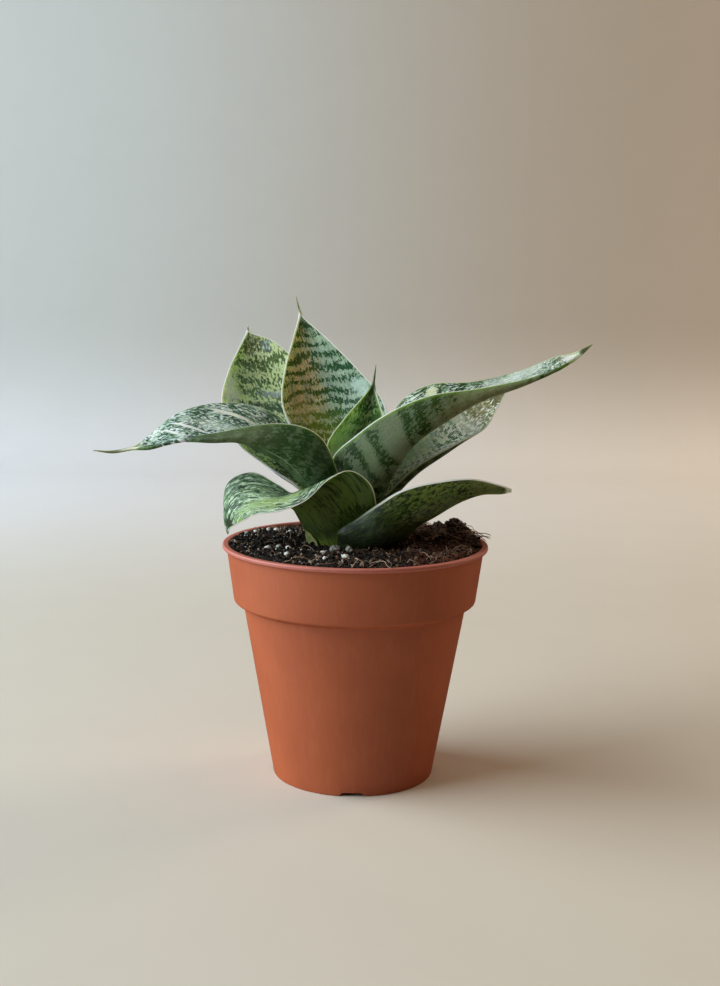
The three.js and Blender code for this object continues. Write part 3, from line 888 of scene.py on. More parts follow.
@dataclass(frozen=True)
class NurseryPot:
    """The moulded pot: a tapered wall, a rolled band, a lip, a notched foot and a drained floor."""

    height: float = 93.5
    lip_radius: float = 52.5
    lip_height: float = 1.6
    lip_width: float = 2.4
    band_top_radius: float = 50.8
    band_bottom_radius: float = 48.2
    band_bottom_z: float = 70.9
    shoulder_z: float = 69.3
    shoulder_radius: float = 44.2
    foot_radius: float = 32.0
    wall: float = 1.2
    floor_underside_z: float = 2.6
    floor_thickness: float = 1.4
    foot_ring_width: float = 1.7
    pad_radius: float = 9.0
    pad_slope: float = 1.6
    notch_width: float = 10.5
    notch_height: float = 1.5
    notch_slope: float = 1.5
    notch_count: int = 4
    drain_radius: float = 4.0
    drain_circle_radius: float = 19.5
    drain_count: int = 6
    drain_sides: int = 32
    drain_turn_degrees: float = 2.0
    notch_inset: float = 1.0
    sharp_degrees: float = 38.0
    steps: int = 256
    finish: PotPlastic = PotPlastic()

    def corners(self) -> list[Corner]:
        """The pot's section, from the middle of its underside round to the middle of its floor."""
        ring = self.foot_radius - self.foot_ring_width
        lip_base = self.height - self.lip_height
        lip_inner = self.lip_radius - self.lip_width
        floor_top = self.floor_underside_z + self.floor_thickness
        pad = self.pad_radius - self.floor_thickness / 2
        slope = (self.shoulder_radius - self.foot_radius) / self.shoulder_z
        return [
            Corner(0, 0),
            Corner(self.pad_radius, 0, 0.3),
            Corner(self.pad_radius + self.pad_slope, self.floor_underside_z, 0.4),
            Corner(ring - 0.4, self.floor_underside_z, 0.4),
            Corner(ring, 0, 0.25),
            Corner(self.foot_radius, 0, 0.4),
            Corner(self.foot_radius + slope * 3.2, 3.2),
            Corner(self.shoulder_radius, self.shoulder_z, 1.1),
            Corner(self.band_bottom_radius - 0.25, self.band_bottom_z, 1.3),
            Corner(self.band_top_radius, lip_base - 0.1, 0.35),
            Corner(self.lip_radius, lip_base, 0.55),
            Corner(self.lip_radius, self.height, 0.6),
            Corner(lip_inner, self.height, 0.5),
            Corner(self.band_top_radius - self.wall, lip_base - 1.0, 0.5),
            Corner(self.band_bottom_radius - self.wall, self.band_bottom_z + 2.6, 0.8),
            Corner(self.shoulder_radius - self.wall, self.shoulder_z - 0.6, 1.0),
            Corner(self.foot_radius + slope * floor_top - self.wall, floor_top, 0.6),
            Corner(pad + self.pad_slope, floor_top, 0.4),
            Corner(pad, self.floor_thickness, 0.4),
            Corner(0, self.floor_thickness),
        ]

    def notch_level(self, x: float, y: float) -> float:
        """How high the foot's underside is raised at a place by the notches, in millimetres."""
        span = 2 * math.pi / self.notch_count
        off = abs((math.atan2(y, x) + span / 2) % span - span / 2)
        inside = self.notch_width / 2 - math.hypot(x, y) * math.sin(off)
        return self.notch_height * max(0.0, min(1.0, inside / self.notch_slope))

    def shell(self) -> bmesh.types.BMesh:
        """The pot turned from its section, with its foot notches."""
        bm = spun(rounded(self.corners()), self.steps)
        foot_inside = self.foot_radius - self.foot_ring_width - self.notch_inset
        for vert in bm.verts:
            x, y = vert.co.x / MM, vert.co.y / MM
            if math.hypot(x, y) > foot_inside:
                vert.co.z = max(vert.co.z, self.notch_level(x, y) * MM)
        return bm

    def cutters(self) -> bpy.types.Object:
        """The drain holes, as one mesh of separate closed cutters."""
        bm = bmesh.new()
        off_axis = Matrix.Rotation(math.radians(self.drain_turn_degrees), 4, "Z")
        out = Matrix.Translation((self.drain_circle_radius * MM, 0, self.floor_underside_z * MM))
        size, depth = self.drain_radius * MM, 4 * self.floor_thickness * MM
        for index in range(self.drain_count):
            place = Matrix.Rotation((index + 0.5) * math.tau / self.drain_count, 4, "Z") @ out @ off_axis
            bmesh.ops.create_cone(
                bm, cap_ends=True, segments=self.drain_sides, radius1=size, radius2=size, depth=depth,
                matrix=place,
            )
        bmesh.ops.recalc_face_normals(bm, faces=bm.faces)
        mesh = bpy.data.meshes.new("pot_cutters")
        bm.to_mesh(mesh)
        bm.free()
        cutters = bpy.data.objects.new("pot_cutters", mesh)
        bpy.context.scene.collection.objects.link(cutters)
        return cutters

    def build(self) -> None:
        """Builds the pot and stands it for its node."""
        pot = to_piece("nursery_pot", self.shell(), self.finish)
        cutters = self.cutters()
        cut = pot.modifiers.new("cut", "BOOLEAN")
        cut.operation = "DIFFERENCE"
        cut.solver = "MANIFOLD"
        cut.object = cutters
        shown = pot.evaluated_get(bpy.context.evaluated_depsgraph_get())
        mesh = bpy.data.meshes.new_from_object(shown)
        pot.modifiers.clear()
        pot.data = mesh
        bpy.data.objects.remove(cutters, do_unlink=True)
        mesh.set_sharp_from_angle(angle=math.radians(self.sharp_degrees))
        hand_over(pot, ["pot"])


# ---------------------------------------------------------------------------------------------
# Potting mix
# ---------------------------------------------------------------------------------------------


@dataclass(frozen=True)
class Mound:
    """A smooth rise, or a hollow if its lift is negative, in the bed of the mix."""

    x: float
    y: float
    width: float
    depth: float
    lift: float

    def height(self, x: float, y: float) -> float:
        """How far it lifts the bed at a place."""
        far = ((x - self.x) / self.width) ** 2 + ((y - self.y) / self.depth) ** 2
        return self.lift * math.exp(-far)


@dataclass(frozen=True)
class PottingMix:
    """The mix in the pot: a lumpy bed, loose crumbs, perlite specks and coir fibres."""

    edge_radius: float = 49.6
    edge_z: float = 92.9
    crown_z: float = 95.0
    crumb_count: int = 7000
    crumb_small: float = 0.26
    crumb_large: float = 0.95
    speck_count: int = 420
    fibre_count: int = 300
    stray_degrees: tuple[int, ...] = (-112, -106, -98, -93, -88, -81, -76, 2, 5, 8, 11, 13, 16, 19, 24, 31)
    lip_top: float = 93.5
    crumb_seed: int = 11
    speck_seed: int = 23
    fibre_seed: int = 37
    sharp_degrees: float = 40.0
    steps: int = 220
    rings: int = 130
    wall: tuple[Pair, ...] = ((0, 4.4), (30.9, 4.4), (42.3, 68.6), (43.5, 71.0), (46.5, 73.6))
    mounds: tuple[Mound, ...] = (
        Mound(40.0, 16.0, 15.0, 20.0, 2.8),
        Mound(43.5, 20.0, 3.2, 3.2, 2.4),
        Mound(-30.0, 36.0, 20.0, 9.0, -1.6),
    )

    def height(self, x: float, y: float) -> float:
        """The bed's height in millimetres at a place, with its lumps."""
        radius = math.hypot(x, y)
        level = self.crown_z - (self.crown_z - self.edge_z) * (radius / self.edge_radius) ** 2
        level += sum(mound.height(x, y) for mound in self.mounds)
        lumps = noise.noise(Vector((x * 0.16, y * 0.16, 1.7))) * 1.1
        clods = noise.noise(Vector((x * 0.55, y * 0.55, 5.1))) * 0.75
        grit = noise.noise(Vector((x * 1.7, y * 1.7, 9.4))) * 0.4
        return level + (lumps + clods + grit) * min(1.0, (self.edge_radius - radius) / 3.0 + 0.35)

    def bed(self) -> None:
        """Builds the bed down to the pot's floor."""
        top = [(self.edge_radius * (1 - i / self.rings), self.edge_z) for i in range(self.rings + 1)]
        bm = spun([*self.wall, *top], self.steps)
        for vert in bm.verts:
            if vert.co.z > (self.edge_z - 0.01) * MM:
                vert.co.z = self.height(vert.co.x / MM, vert.co.y / MM) * MM
        bmesh.ops.recalc_face_normals(bm, faces=bm.faces)
        bed = to_piece("potting_mix", bm, MixFinish("mix_bed", has_tone=False))
        hand_over(bed, ["soil"])

    def scatter(self, rng: random.Random, reach: float = 1.0) -> Pair:
        """A random place on the bed."""
        radius = self.edge_radius * reach * math.sqrt(rng.random())
        angle = rng.uniform(0, 2 * math.pi)
        return radius * math.cos(angle), radius * math.sin(angle)

    def crumb(self, heap: Heap, rng: random.Random, at: Point, size: float, levels: int = 1) -> None:
        """Adds one rough crumb of a size in millimetres, turned at random."""
        stretch = Matrix.Diagonal((rng.uniform(0.7, 1.5), rng.uniform(0.7, 1.2), rng.uniform(0.6, 1.0), 1))
        turn = Euler([rng.uniform(0, math.tau) for _ in range(3)]).to_matrix().to_4x4()
        centre = Vector(at) * MM
        matrix = Matrix.Translation(centre) @ turn @ stretch
        made = bmesh.ops.create_icosphere(heap.part, subdivisions=levels, radius=size * MM, matrix=matrix)
        for vert in made["verts"]:
            vert.co = centre + (vert.co - centre) * rng.uniform(0.65, 1.25)
        heap.keep(made["verts"], rng.random())

    def crumbs(self) -> None:
        """Builds the loose crumbs."""
        rng = random.Random(self.crumb_seed)
        heap = Heap()
        for _ in range(self.crumb_count):
            x, y = self.scatter(rng)
            size = self.crumb_small + (self.crumb_large - self.crumb_small) * rng.random() ** 2.6
            z = self.height(x, y) + size * rng.uniform(-0.1, 0.7)
            self.crumb(heap, rng, (x, y, z), size, levels=2 if size > 0.9 else 1)
        piece = to_piece("mix_crumbs", heap.take(), MixFinish("mix_crumb"), self.sharp_degrees)
        hand_over(piece)

    def specks(self) -> None:
        """Builds the small perlite specks, most of them on the left."""
        rng = random.Random(self.speck_seed)
        heap = Heap()
        for _ in range(self.speck_count):
            x, y = self.scatter(rng, 0.97)
            if x > 0 and rng.random() < 0.66:
                x = -x
            size = rng.uniform(0.18, 0.5)
            self.crumb(heap, rng, (x, y, self.height(x, y) + size * 0.8), size)
        finish = GrainFinish("perlite_speck", (244, 240, 230), (150, 142, 130), dirt_strength=0.2)
        hand_over(to_piece("perlite_specks", heap.take(), finish, self.sharp_degrees))

    def fibres(self) -> None:
        """Builds the coir fibres, most of them on the right."""
        rng = random.Random(self.fibre_seed)
        heap = Heap()
        for _ in range(self.fibre_count):
            x, y = self.scatter(rng, 0.99)
            if x < -4 and rng.random() < 0.63:
                x = -x
            length = rng.uniform(3.0, 11.0)
            self.fibre(heap, rng, (x, y), length, rng.uniform(0.2, 1.8))
        for degrees in self.stray_degrees:
            self.stray(heap, rng, math.radians(degrees))
        hand_over(to_piece("coir_fibres", heap.take(), FibreFinish()))

    def fibre(self, heap: Heap, rng: random.Random, at: Pair, length: float, rise: float) -> None:
        """Adds one fibre that lies on the bed, arched and bent at random.

        Args:
            heap: The heap that it is added to.
            rng: The source of its direction, bend, thickness and tone.
            at: The place of its middle, in millimetres.
            length: Its length in millimetres.
            rise: How high its middle stands off the bed, in millimetres.
        """
        angle = rng.uniform(0, math.tau)
        bend = rng.uniform(-0.9, 0.9)
        thick = rng.uniform(0.05, 0.13)
        wobble = rng.uniform(0, 10)

        def path(share: float) -> Vector:
            turned = angle + bend * share
            x = at[0] + math.cos(turned) * length * (share - 0.5)
            y = at[1] + math.sin(turned) * length * (share - 0.5)
            x += noise.noise(Vector((share * 3, wobble, 0))) * length * 0.12
            y += noise.noise(Vector((share * 3, wobble, 7))) * length * 0.12
            inside = min(1.0, (self.edge_radius - 0.4) / max(math.hypot(x, y), 1e-6))
            x, y = x * inside, y * inside
            arch = rise * math.sin(math.pi * share)
            return Vector((x, y, self.height(x, y) + 0.5 + arch)) * MM

        heap.keep(strand(heap.part, path, thick * MM), rng.random())

    def stray(self, heap: Heap, rng: random.Random, angle: float) -> None:
        """Adds one fibre that reaches from the bed over the pot's lip.

        Args:
            heap: The heap that it is added to.
            rng: The source of its reach, bend, thickness and tone.
            angle: Where on the lip it crosses, in radians.
        """
        near = rng.uniform(42, 47)
        far = rng.uniform(52.5, 57.5)
        bend = rng.uniform(-0.16, 0.16)
        lift = rng.uniform(0.6, 3.4)
        thick = rng.uniform(0.11, 0.19)
        wobble = rng.uniform(0, 10)
        start = self.height(near * math.cos(angle), near * math.sin(angle)) + 0.2

        def path(share: float) -> Vector:
            radius = near + (far - near) * share
            turned = angle + bend * share * share
            turned += noise.noise(Vector((share * 4, wobble, 3))) * 0.06
            level = start + (self.lip_top + 0.7 - start) * min(1.0, 2 * share)
            level += lift * math.sin(math.pi * share)
            level += noise.noise(Vector((share * 4, wobble, 9))) * 0.8 * share
            return Vector((radius * math.cos(turned), radius * math.sin(turned), level)) * MM

        heap.keep(strand(heap.part, path, thick * MM), rng.uniform(0.5, 1.0))

    def build(self) -> None:
        """Builds the bed and everything loose on it."""
        self.bed()
        self.crumbs()
        self.specks()
        self.fibres()


@dataclass(frozen=True)
class Grain:
    """One grain that the frame holds a node for: its place and size in mm, its turn in degrees."""

    x: float
    y: float
    size: float
    turn: float


@dataclass(frozen=True)
class GrainSet:
    """Grains of one kind, lying in the surface of the mix."""

    name: str
    slot: str
    first_node: int
    node_stem: str
    finish: GrainFinish
    grains: tuple[Grain, ...]
    sink: float = 0.65
    rough: float = 0.22
    stretch: Point = (1.25, 1.0, 0.85)

    def build(self, bed: PottingMix) -> None:
        """Builds the grains as one piece that stands for their nodes."""
        bm = bmesh.new()
        rng = random.Random(self.first_node * 7 + len(self.grains))
        for index, grain in enumerate(self.grains):
            height = bed.height(grain.x, grain.y) + grain.size * self.sink
            place = Matrix.Translation(Vector((grain.x, grain.y, height)) * MM)
            turn = Matrix.Rotation(math.radians(grain.turn), 4, "Z")
            stretch = Matrix.Diagonal((*self.stretch, 1.0))
            made = bmesh.ops.create_icosphere(bm, subdivisions=4, radius=grain.size * MM)["verts"]
            seed = Vector((rng.uniform(0, 9), rng.uniform(0, 9), index))
            for vert in made:
                unit = vert.co.normalized()
                lump = noise.noise(unit * 1.4 + seed) + 0.5 * noise.noise(unit * 4.0 + seed)
                vert.co *= 1.0 + self.rough * lump
            bmesh.ops.transform(bm, matrix=place @ turn @ stretch, verts=made)
        last = self.first_node + len(self.grains)
        nodes = [f"{self.node_stem}_{number:02d}" for number in range(self.first_node, last)]
        hand_over(to_piece(self.name, bm, self.finish), nodes)


# ---------------------------------------------------------------------------------------------
# Leaves
# ---------------------------------------------------------------------------------------------


Station = tuple[Point, Point, Point, float]


@dataclass(frozen=True)
class Leaf:
    """One channelled leaf, swept from its buried base to its tip.

    Each station is the right margin, the midrib and the left margin in millimetres, seen with the
    leaf's upper face towards the eye, and half the thickness.
    """

    node: str
    slot: str
    stations: tuple[Station, ...]
    skin: LeafSkin | ScaleSkin
    rows: int = 180
    columns: int = 72
    arc_steps: int = 14

    def rail(self, column: int, t: np.ndarray) -> np.ndarray:
        """Points on a smooth rail through one column of the stations, at shares of its spans."""
        points = np.array([station[column] for station in self.stations], dtype=float)
        points = np.vstack([2 * points[0] - points[1], points, 2 * points[-1] - points[-2]])
        spans = len(self.stations) - 1
        index = np.clip(np.floor(t * spans).astype(int), 0, spans - 1)
        w = (t * spans - index)[:, None]
        before, start, end, after = (points[index + step] for step in range(4))
        leave, arrive = 0.5 * (end - before), 0.5 * (after - start)
        square = -3 * start + 3 * end - 2 * leave - arrive
        cube = 2 * start - 2 * end + leave + arrive
        return start + leave * w + square * w**2 + cube * w**3

    def middle(self, t: np.ndarray, v: np.ndarray) -> np.ndarray:
        """Points on the middle surface: t runs from base to tip, v from the right margin to the left."""
        share, rest = v[:, None], 1 - v[:, None]
        right, rib, left = (self.rail(column, t) for column in range(3))
        return rest * (1 - 2 * share) * right + 4 * share * rest * rib + share * (2 * share - 1) * left

    def half(self, t: np.ndarray) -> np.ndarray:
        """Half the thickness at shares of the spans."""
        places = np.linspace(0, 1, len(self.stations))
        return np.interp(t, places, [station[3] for station in self.stations])

    def normals(self, t: np.ndarray, v: np.ndarray) -> np.ndarray:
        """Unit vectors out of the upper face."""
        step = 1e-3
        along = self.middle(np.minimum(t + step, 1), v) - self.middle(np.maximum(t - step, 0), v)
        across = self.middle(t, np.minimum(v + step, 1)) - self.middle(t, np.maximum(v - step, 0))
        normal = np.cross(along, across)
        return normal / np.maximum(np.linalg.norm(normal, axis=1, keepdims=True), 1e-12)

    def arc(self, t: np.ndarray, start: np.ndarray, end: np.ndarray) -> np.ndarray:
        """Lengths across the leaf between two shares of its section."""
        total = np.zeros(len(t))
        last = self.middle(t, start)
        for step in range(1, self.arc_steps + 1):
            here = self.middle(t, start + (end - start) * step / self.arc_steps)
            total += np.linalg.norm(here - last, axis=1)
            last = here
        return total

    def along(self, t: np.ndarray) -> np.ndarray:
        """Lengths along the midrib from the base."""
        shares = np.linspace(0, 1, 400)
        spans = np.linalg.norm(np.diff(self.rail(1, shares), axis=0), axis=1)
        return np.interp(t, shares, np.concatenate([[0.0], np.cumsum(spans)]))

    def build(self) -> None:
        """Builds the leaf and stands it for its node."""
        bm = bmesh.new()
        bmesh.ops.create_grid(bm, x_segments=self.columns, y_segments=self.rows, size=1.0, calc_uvs=True)
        blade = bm.verts.layers.float_vector.new("blade")
        face = bm.verts.layers.float.new("face")
        flat = np.array([vert.co[:2] for vert in bm.verts])
        t = np.clip((flat[:, 1] + 1) / 2, 0, 1)
        turn = -math.pi * flat[:, 0]
        v = (1 - np.cos(turn)) / 2
        lift = np.where((t > 1e-6) & (t < 1 - 1e-6), np.sin(turn) * self.half(t), 0.0)
        points = self.middle(t, v) + self.normals(t, v) * lift[:, None]
        centre = np.full(len(t), 0.5)
        across = self.arc(t, centre, v) * np.sign(v - 0.5)
        rim = self.arc(t, v, np.round(v))
        along = self.along(t)
        side = np.clip(0.5 + 4 * np.sin(turn), 0, 1)
        for index, vert in enumerate(bm.verts):
            vert.co = Vector(points[index]) * MM
            vert[blade] = Vector((across[index], along[index], rim[index]))
            vert[face] = side[index]
        bmesh.ops.remove_doubles(bm, verts=bm.verts, dist=WELD)
        hand_over(to_piece(f"{self.node}_blade", bm, self.skin), [self.node])


PLAIN_UNDER = Bands(dark=(58, 80, 38), light=(104, 118, 84), fleck=(96, 112, 66))

LEAVES: tuple[Leaf, ...] = (
    Leaf(
        node="leaf_centre_young", slot="leaf_mid",
        stations=(
            ((2, 1, 78), (-2, 3, 78), (-6, 1, 78), 1.4),
            ((4, 0, 110.5), (-3.5, 5, 108.5), (-10, 0, 110.5), 1.6),
            ((8.5, -1, 120.5), (-2.5, 5, 118.5), (-10.5, -2, 120.5), 1.5),
            ((11.5, 0, 132.5), (-1.5, 7, 130.5), (-11.5, -3, 132.5), 1.3),
            ((10.5, 3, 143), (2, 8, 140), (-5.5, 0, 142), 1.1),
            ((8.5, 5, 149.5), (5, 8, 148.5), (1, 4, 149.5), 0.9),
            ((7, 7, 155), (6.2, 7.5, 155), (5.4, 7, 155), 0.6),
            ((7.2, 7, 159.5), (6.8, 7, 159.5), (6.4, 7, 159.5), 0.4),
            ((7.4, 7, 163.5), (7.3, 7, 163.5), (7.2, 7, 163.5), 0.15),
        ),
        skin=LeafSkin(
            name="leaf_centre_young_skin",
            upper=Bands(
                dark=(54, 104, 22), light=(142, 188, 98), fleck=(182, 210, 156), deep=(20, 42, 6),
                # Painted light: the left half is made much paler, as where light falls on it.
                light_share=0.36, speckle=2.2, dash=1.6, left_light=(232, 252, 206),
                left_dark=(134, 186, 88),
            ),
            under=PLAIN_UNDER, length_mm=87.0,
            patches=(
                # Painted light: a pale patch low on the left half, where light falls.
                Patch(Face.UPPER, 7.5, 53.0, 6.5, 10.0, (236, 252, 218), 0.85, ragged=0.8),
                Patch(Face.UPPER, -8.0, 62.0, 5.0, 8.0, (74, 120, 14), 0.6, ragged=0.6),
                Patch(Face.UPPER, 0.0, 78.0, 12.0, 9.0, (26, 52, 8), 0.6),
            ),
            inner_margin=(132, 172, 66), inner_margin_strength=0.7, base=(160, 200, 66),
            tip=(44, 58, 26), tip_mm=14.0, seed=2.3,
        ),
    ),
    Leaf(
        node="leaf_long_right", slot="leaf_mid",
        stations=(
            ((-3, -5, 78), (5, -6, 78), (8, 3, 78), 2.2),
            ((-7.5, -9, 112), (3.5, -9, 105.5), (9.5, 6, 109.5), 2.0),
            ((-9.5, -11, 127.5), (6.5, -11, 114.5), (12.5, 9, 122), 1.8),
            ((0.5, -12, 138), (13.5, -12, 125), (12.5, 14, 135.5), 1.7),
            ((13.5, -11, 147), (21.5, -11, 135), (17.5, 18, 148), 1.5),
            ((29, -8, 153), (31, -9, 142), (29.5, 19, 155), 1.3),
            ((47.5, -4, 155.5), (47, -4, 151), (47, 17, 156.5), 1.1),
            ((65.5, 0, 159), (64, 0, 157), (65, 13, 161.5), 0.9),
            ((78.5, 2, 163.5), (77.5, 2, 163), (77, 8, 167), 0.8),
            ((85.5, 4, 167), (85, 4, 167), (84.5, 6, 169), 0.8),
            ((92, 5, 172.4), (91.9, 5, 172.5), (91.7, 5.1, 172.6), 0.15),
        ),
        skin=LeafSkin(
            name="leaf_long_right_skin",
            upper=Bands(
                dark=(58, 86, 52), light=(134, 164, 130), fleck=(242, 252, 236), deep=(34, 54, 28),
                pitch_mm=9.0, banding=0.25, light_share=0.42, dash=2.4, streak=1.0, fleck_strength=1.0,
            ),
            under=Bands(
                dark=(46, 76, 18), light=(106, 126, 94), fleck=(96, 112, 70), deep=(22, 42, 6),
                pitch_mm=6.2, start_mm=2.0, light_share=0.4, speckle=2.3, dash=0.9, streak=0.2,
            ),
            length_mm=145.0,
            patches=(
                Patch(Face.UNDER, -9.0, 59.5, 11.0, 4.2, (122, 136, 106), 0.95, 14.0, 0.3),
                Patch(Face.UNDER, -10.0, 48.5, 10.0, 2.0, (120, 138, 100), 0.8, 16.0, 0.5),
                Patch(Face.UNDER, -3.0, 96.0, 8.0, 22.0, (148, 150, 108), 0.6),
                Patch(Face.UPPER, 24.7, 75.3, 4.0, 2.4, (232, 236, 196), 0.9),
                Patch(Face.UPPER, 8.0, 112.0, 7.0, 14.0, (236, 244, 232), 0.6, ragged=1.2),
                Patch(Face.UPPER, 2.0, 136.0, 4.0, 5.0, (248, 248, 236), 0.9, ragged=0.4),
                Patch(Face.BOTH, 4.0, 129.5, 1.2, 2.0, (86, 66, 44), 0.7),
            ),
            inner_margin=(122, 164, 50), inner_margin_mm=2.0, inner_margin_strength=0.7,
            tip=(52, 54, 38), tip_mm=7.0, seed=11.9,
        ),
    ),
    Leaf(
        node="leaf_long_left", slot="leaf_mid",
        stations=(
            ((-10, 4, 78), (-8, -5, 78), (0, -8, 78), 2.0),
            ((-15, 6, 107.5), (-11.5, -8, 107), (-4, -11, 111.5), 1.8),
            ((-21.5, 11, 122.5), (-19.5, -12, 119), (-7.5, -15, 125), 1.7),
            ((-25.5, 15, 132), (-27, -15, 127), (-13, -16, 136.5), 1.7),
            ((-31, 17, 141), (-36, -14, 132), (-22.5, -16, 141.5), 1.5),
            ((-43.5, 18, 146), (-45.5, -12, 135.5), (-36, -14, 141.5), 1.3),
            ((-58.5, 16, 146.5), (-57, -10, 135.5), (-50.5, -12, 138.5), 1.1),
            ((-71.5, 11, 143), (-69, -9, 135.5), (-65.5, -10, 135.5), 0.9),
            ((-80.5, 5, 136), (-80, -7, 131.5), (-79, -7.5, 132.5), 0.8),
            ((-87, -3.8, 130.8), (-87.4, -5, 130.4), (-87, -6.2, 130.8), 0.7),
            ((-94.8, -4.5, 129.1), (-95, -5, 129), (-94.8, -5.5, 129.1), 0.6),
            ((-102.7, -4.9, 129.5), (-102.7, -5, 129.5), (-102.7, -5.1, 129.5), 0.15),
        ),
        skin=LeafSkin(
            name="leaf_long_left_skin",
            upper=Bands(
                dark=(72, 106, 80), light=(160, 192, 168), fleck=(248, 255, 248), deep=(30, 52, 34),
                pitch_mm=12.0, banding=0.2, light_share=0.46, speckle=1.8, dash=2.6, streak=0.8,
                fleck_strength=0.9, deep_strength=0.85,
            ),
            under=Bands(
                dark=(50, 86, 40), light=(86, 112, 72), fleck=(108, 132, 96), deep=(34, 62, 24),
                pitch_mm=7.0, slant=-0.35, light_share=0.48, speckle=2.0, dash=1.4, soft=0.5,
            ),
            length_mm=135.6,
            patches=(
                Patch(Face.UPPER, -20.0, 80.0, 1.3, 9.0, (250, 252, 232), 0.95, -22.0, 0.3),
                Patch(Face.UPPER, -7.6, 96.0, 0.9, 8.5, (250, 252, 246), 0.95, -35.0, 0.25),
                Patch(Face.UPPER, -3.5, 102.0, 0.7, 6.5, (240, 246, 234), 0.9, -52.0, 0.25),
                Patch(Face.UPPER, -9.0, 84.0, 2.4, 9.0, (210, 224, 206), 0.5, -20.0, 1.4),
                Patch(Face.UNDER, 7.0, 80.0, 9.0, 14.0, (96, 98, 62), 0.5),
                Patch(Face.UNDER, 0.0, 65.0, 16.0, 7.0, (42, 68, 24), 0.5, ragged=0.6),
                Patch(Face.UNDER, 3.6, 55.0, 0.16, 13.0, (168, 178, 150), 0.6, 4.0, 0.05),
                Patch(Face.BOTH, 0.0, 119.5, 4.0, 2.6, (176, 180, 96), 0.8, ragged=0.3),
            ),
            inner_margin=(104, 146, 36), inner_margin_strength=0.5, tip=(84, 78, 40), tip_mm=14.0,
            seed=5.4, lean=0.4,
        ),
    ),
    Leaf(
        node="leaf_back_tall", slot="leaf_dark",
        stations=(
            ((5, 4, 78), (-2, 9, 78), (-9, 4, 78), 2.2),
            ((1, 4, 108), (-6, 11, 106), (-12.5, 4, 108.5), 2.0),
            ((7.5, 6, 121), (-6.5, 15, 121), (-19, 6, 123.5), 1.8),
            ((13, 11, 134), (-8.5, 20, 135), (-26.5, 11, 137.5), 1.6),
            ((10.5, 16, 148.5), (-12, 26, 148.5), (-30.5, 16, 148), 1.4),
            ((0, 21, 161), (-16, 28, 161.5), (-29.5, 21, 160.5), 1.2),
            ((-12.5, 25, 173), (-20, 29, 172), (-26.5, 25, 172.5), 0.9),
            ((-22.4, 27, 181.5), (-23.3, 27.5, 181.9), (-24.2, 27, 181.5), 0.6),
            ((-24, 27, 185.5), (-24.4, 27, 185.6), (-24.8, 27, 185.5), 0.4),
            ((-25.2, 27, 189.5), (-25.3, 27, 189.5), (-25.4, 27, 189.5), 0.15),
        ),
        skin=LeafSkin(
            name="leaf_back_tall_skin",
            upper=Bands(
                dark=(54, 106, 62), light=(196, 216, 192), fleck=(146, 180, 152), deep=(30, 72, 40),
                pitch_mm=4.9, light_share=0.54, speckle=2.0, dash=1.1, slant=0.12, wave_mm=1.8,
                soft=0.16, left_dark=(114, 130, 46), left_light=(248, 224, 174),
            ),
            under=PLAIN_UNDER, length_mm=117.7,
            patches=(
                Patch(Face.UPPER, 13.0, 68.0, 5.0, 8.0, (214, 186, 104), 0.4, ragged=0.9),
                # Painted sheen: a bluish-white patch on the right half, where the leaf faces the window.
                Patch(Face.UPPER, -17.0, 80.0, 5.0, 4.0, (216, 240, 230), 0.8, ragged=0.8),
                Patch(Face.UPPER, 4.0, 60.0, 14.0, 9.0, (140, 172, 52), 0.35, ragged=0.9),
                Patch(Face.UPPER, 0.0, 108.0, 12.0, 6.0, (60, 84, 40), 0.6, ragged=0.6),
            ),
            inner_margin=(120, 146, 60), margin=(250, 250, 238), margin_mm=0.75, base=(180, 204, 90),
            base_mm=46.0, tip=(80, 94, 74), tip_mm=8.0, seed=8.1,
        ),
    ),
    Leaf(
        node="leaf_back_left", slot="leaf_pale",
        stations=(
            ((-6, 13, 78), (-12, 9.5, 78), (-14, 1, 78), 2.2),
            ((-4.5, 16, 107.5), (-13.5, 15, 106.5), (-20.5, 8, 109.5), 2.0),
            ((-7.5, 20, 120.5), (-22, 23, 117), (-34.5, 14, 120.5), 1.8),
            ((-10, 24.5, 133.5), (-29, 29, 128.5), (-49, 20, 130.5), 1.6),
            ((-14.5, 29, 145), (-35.5, 35, 143), (-55.5, 26, 146), 1.4),
            ((-21.5, 33, 159), (-40, 38, 156), (-53.5, 31, 158), 1.2),
            ((-34, 36.5, 170.5), (-43, 39, 167), (-50, 35, 166.5), 0.9),
            ((-44.9, 38, 174.5), (-45.6, 38.5, 174.6), (-46.3, 38, 174.5), 0.6),
            ((-45.6, 38, 177.5), (-45.8, 38, 177.5), (-46, 38, 177.5), 0.2),
        ),
        skin=LeafSkin(
            name="leaf_back_left_skin",
            upper=Bands(
                dark=(118, 146, 86), light=(222, 238, 182), fleck=(236, 248, 204), deep=(54, 80, 44),
                pitch_mm=7.0, banding=0.3, light_share=0.54, bow=-0.01, speckle=2.2, dash=1.4,
                streak=0.4, fleck_strength=0.7, soft=0.2, left_dark=(130, 170, 124),
                left_light=(228, 246, 206),
            ),
            under=PLAIN_UNDER, length_mm=113.5,
            patches=(
                # Painted sheen: a bluish-white strip along the left margin.
                Patch(Face.UPPER, 17.0, 82.0, 3.6, 20.0, (244, 255, 255), 0.9, -8.0, 0.7),
                # Painted shade: the lower part of the leaf, behind the front leaves, is darkened.
                Patch(Face.UPPER, 0.0, 42.0, 20.0, 8.0, (34, 56, 18), 0.8),
                Patch(Face.UPPER, -5.5, 103.0, 2.6, 2.2, (160, 184, 196), 0.7, ragged=0.6),
                Patch(Face.UPPER, 2.0, 107.0, 8.0, 7.0, (92, 90, 60), 0.6, ragged=0.9),
                Patch(Face.UPPER, -4.0, 83.0, 7.0, 1.4, (190, 206, 214), 0.7, ragged=0.7),
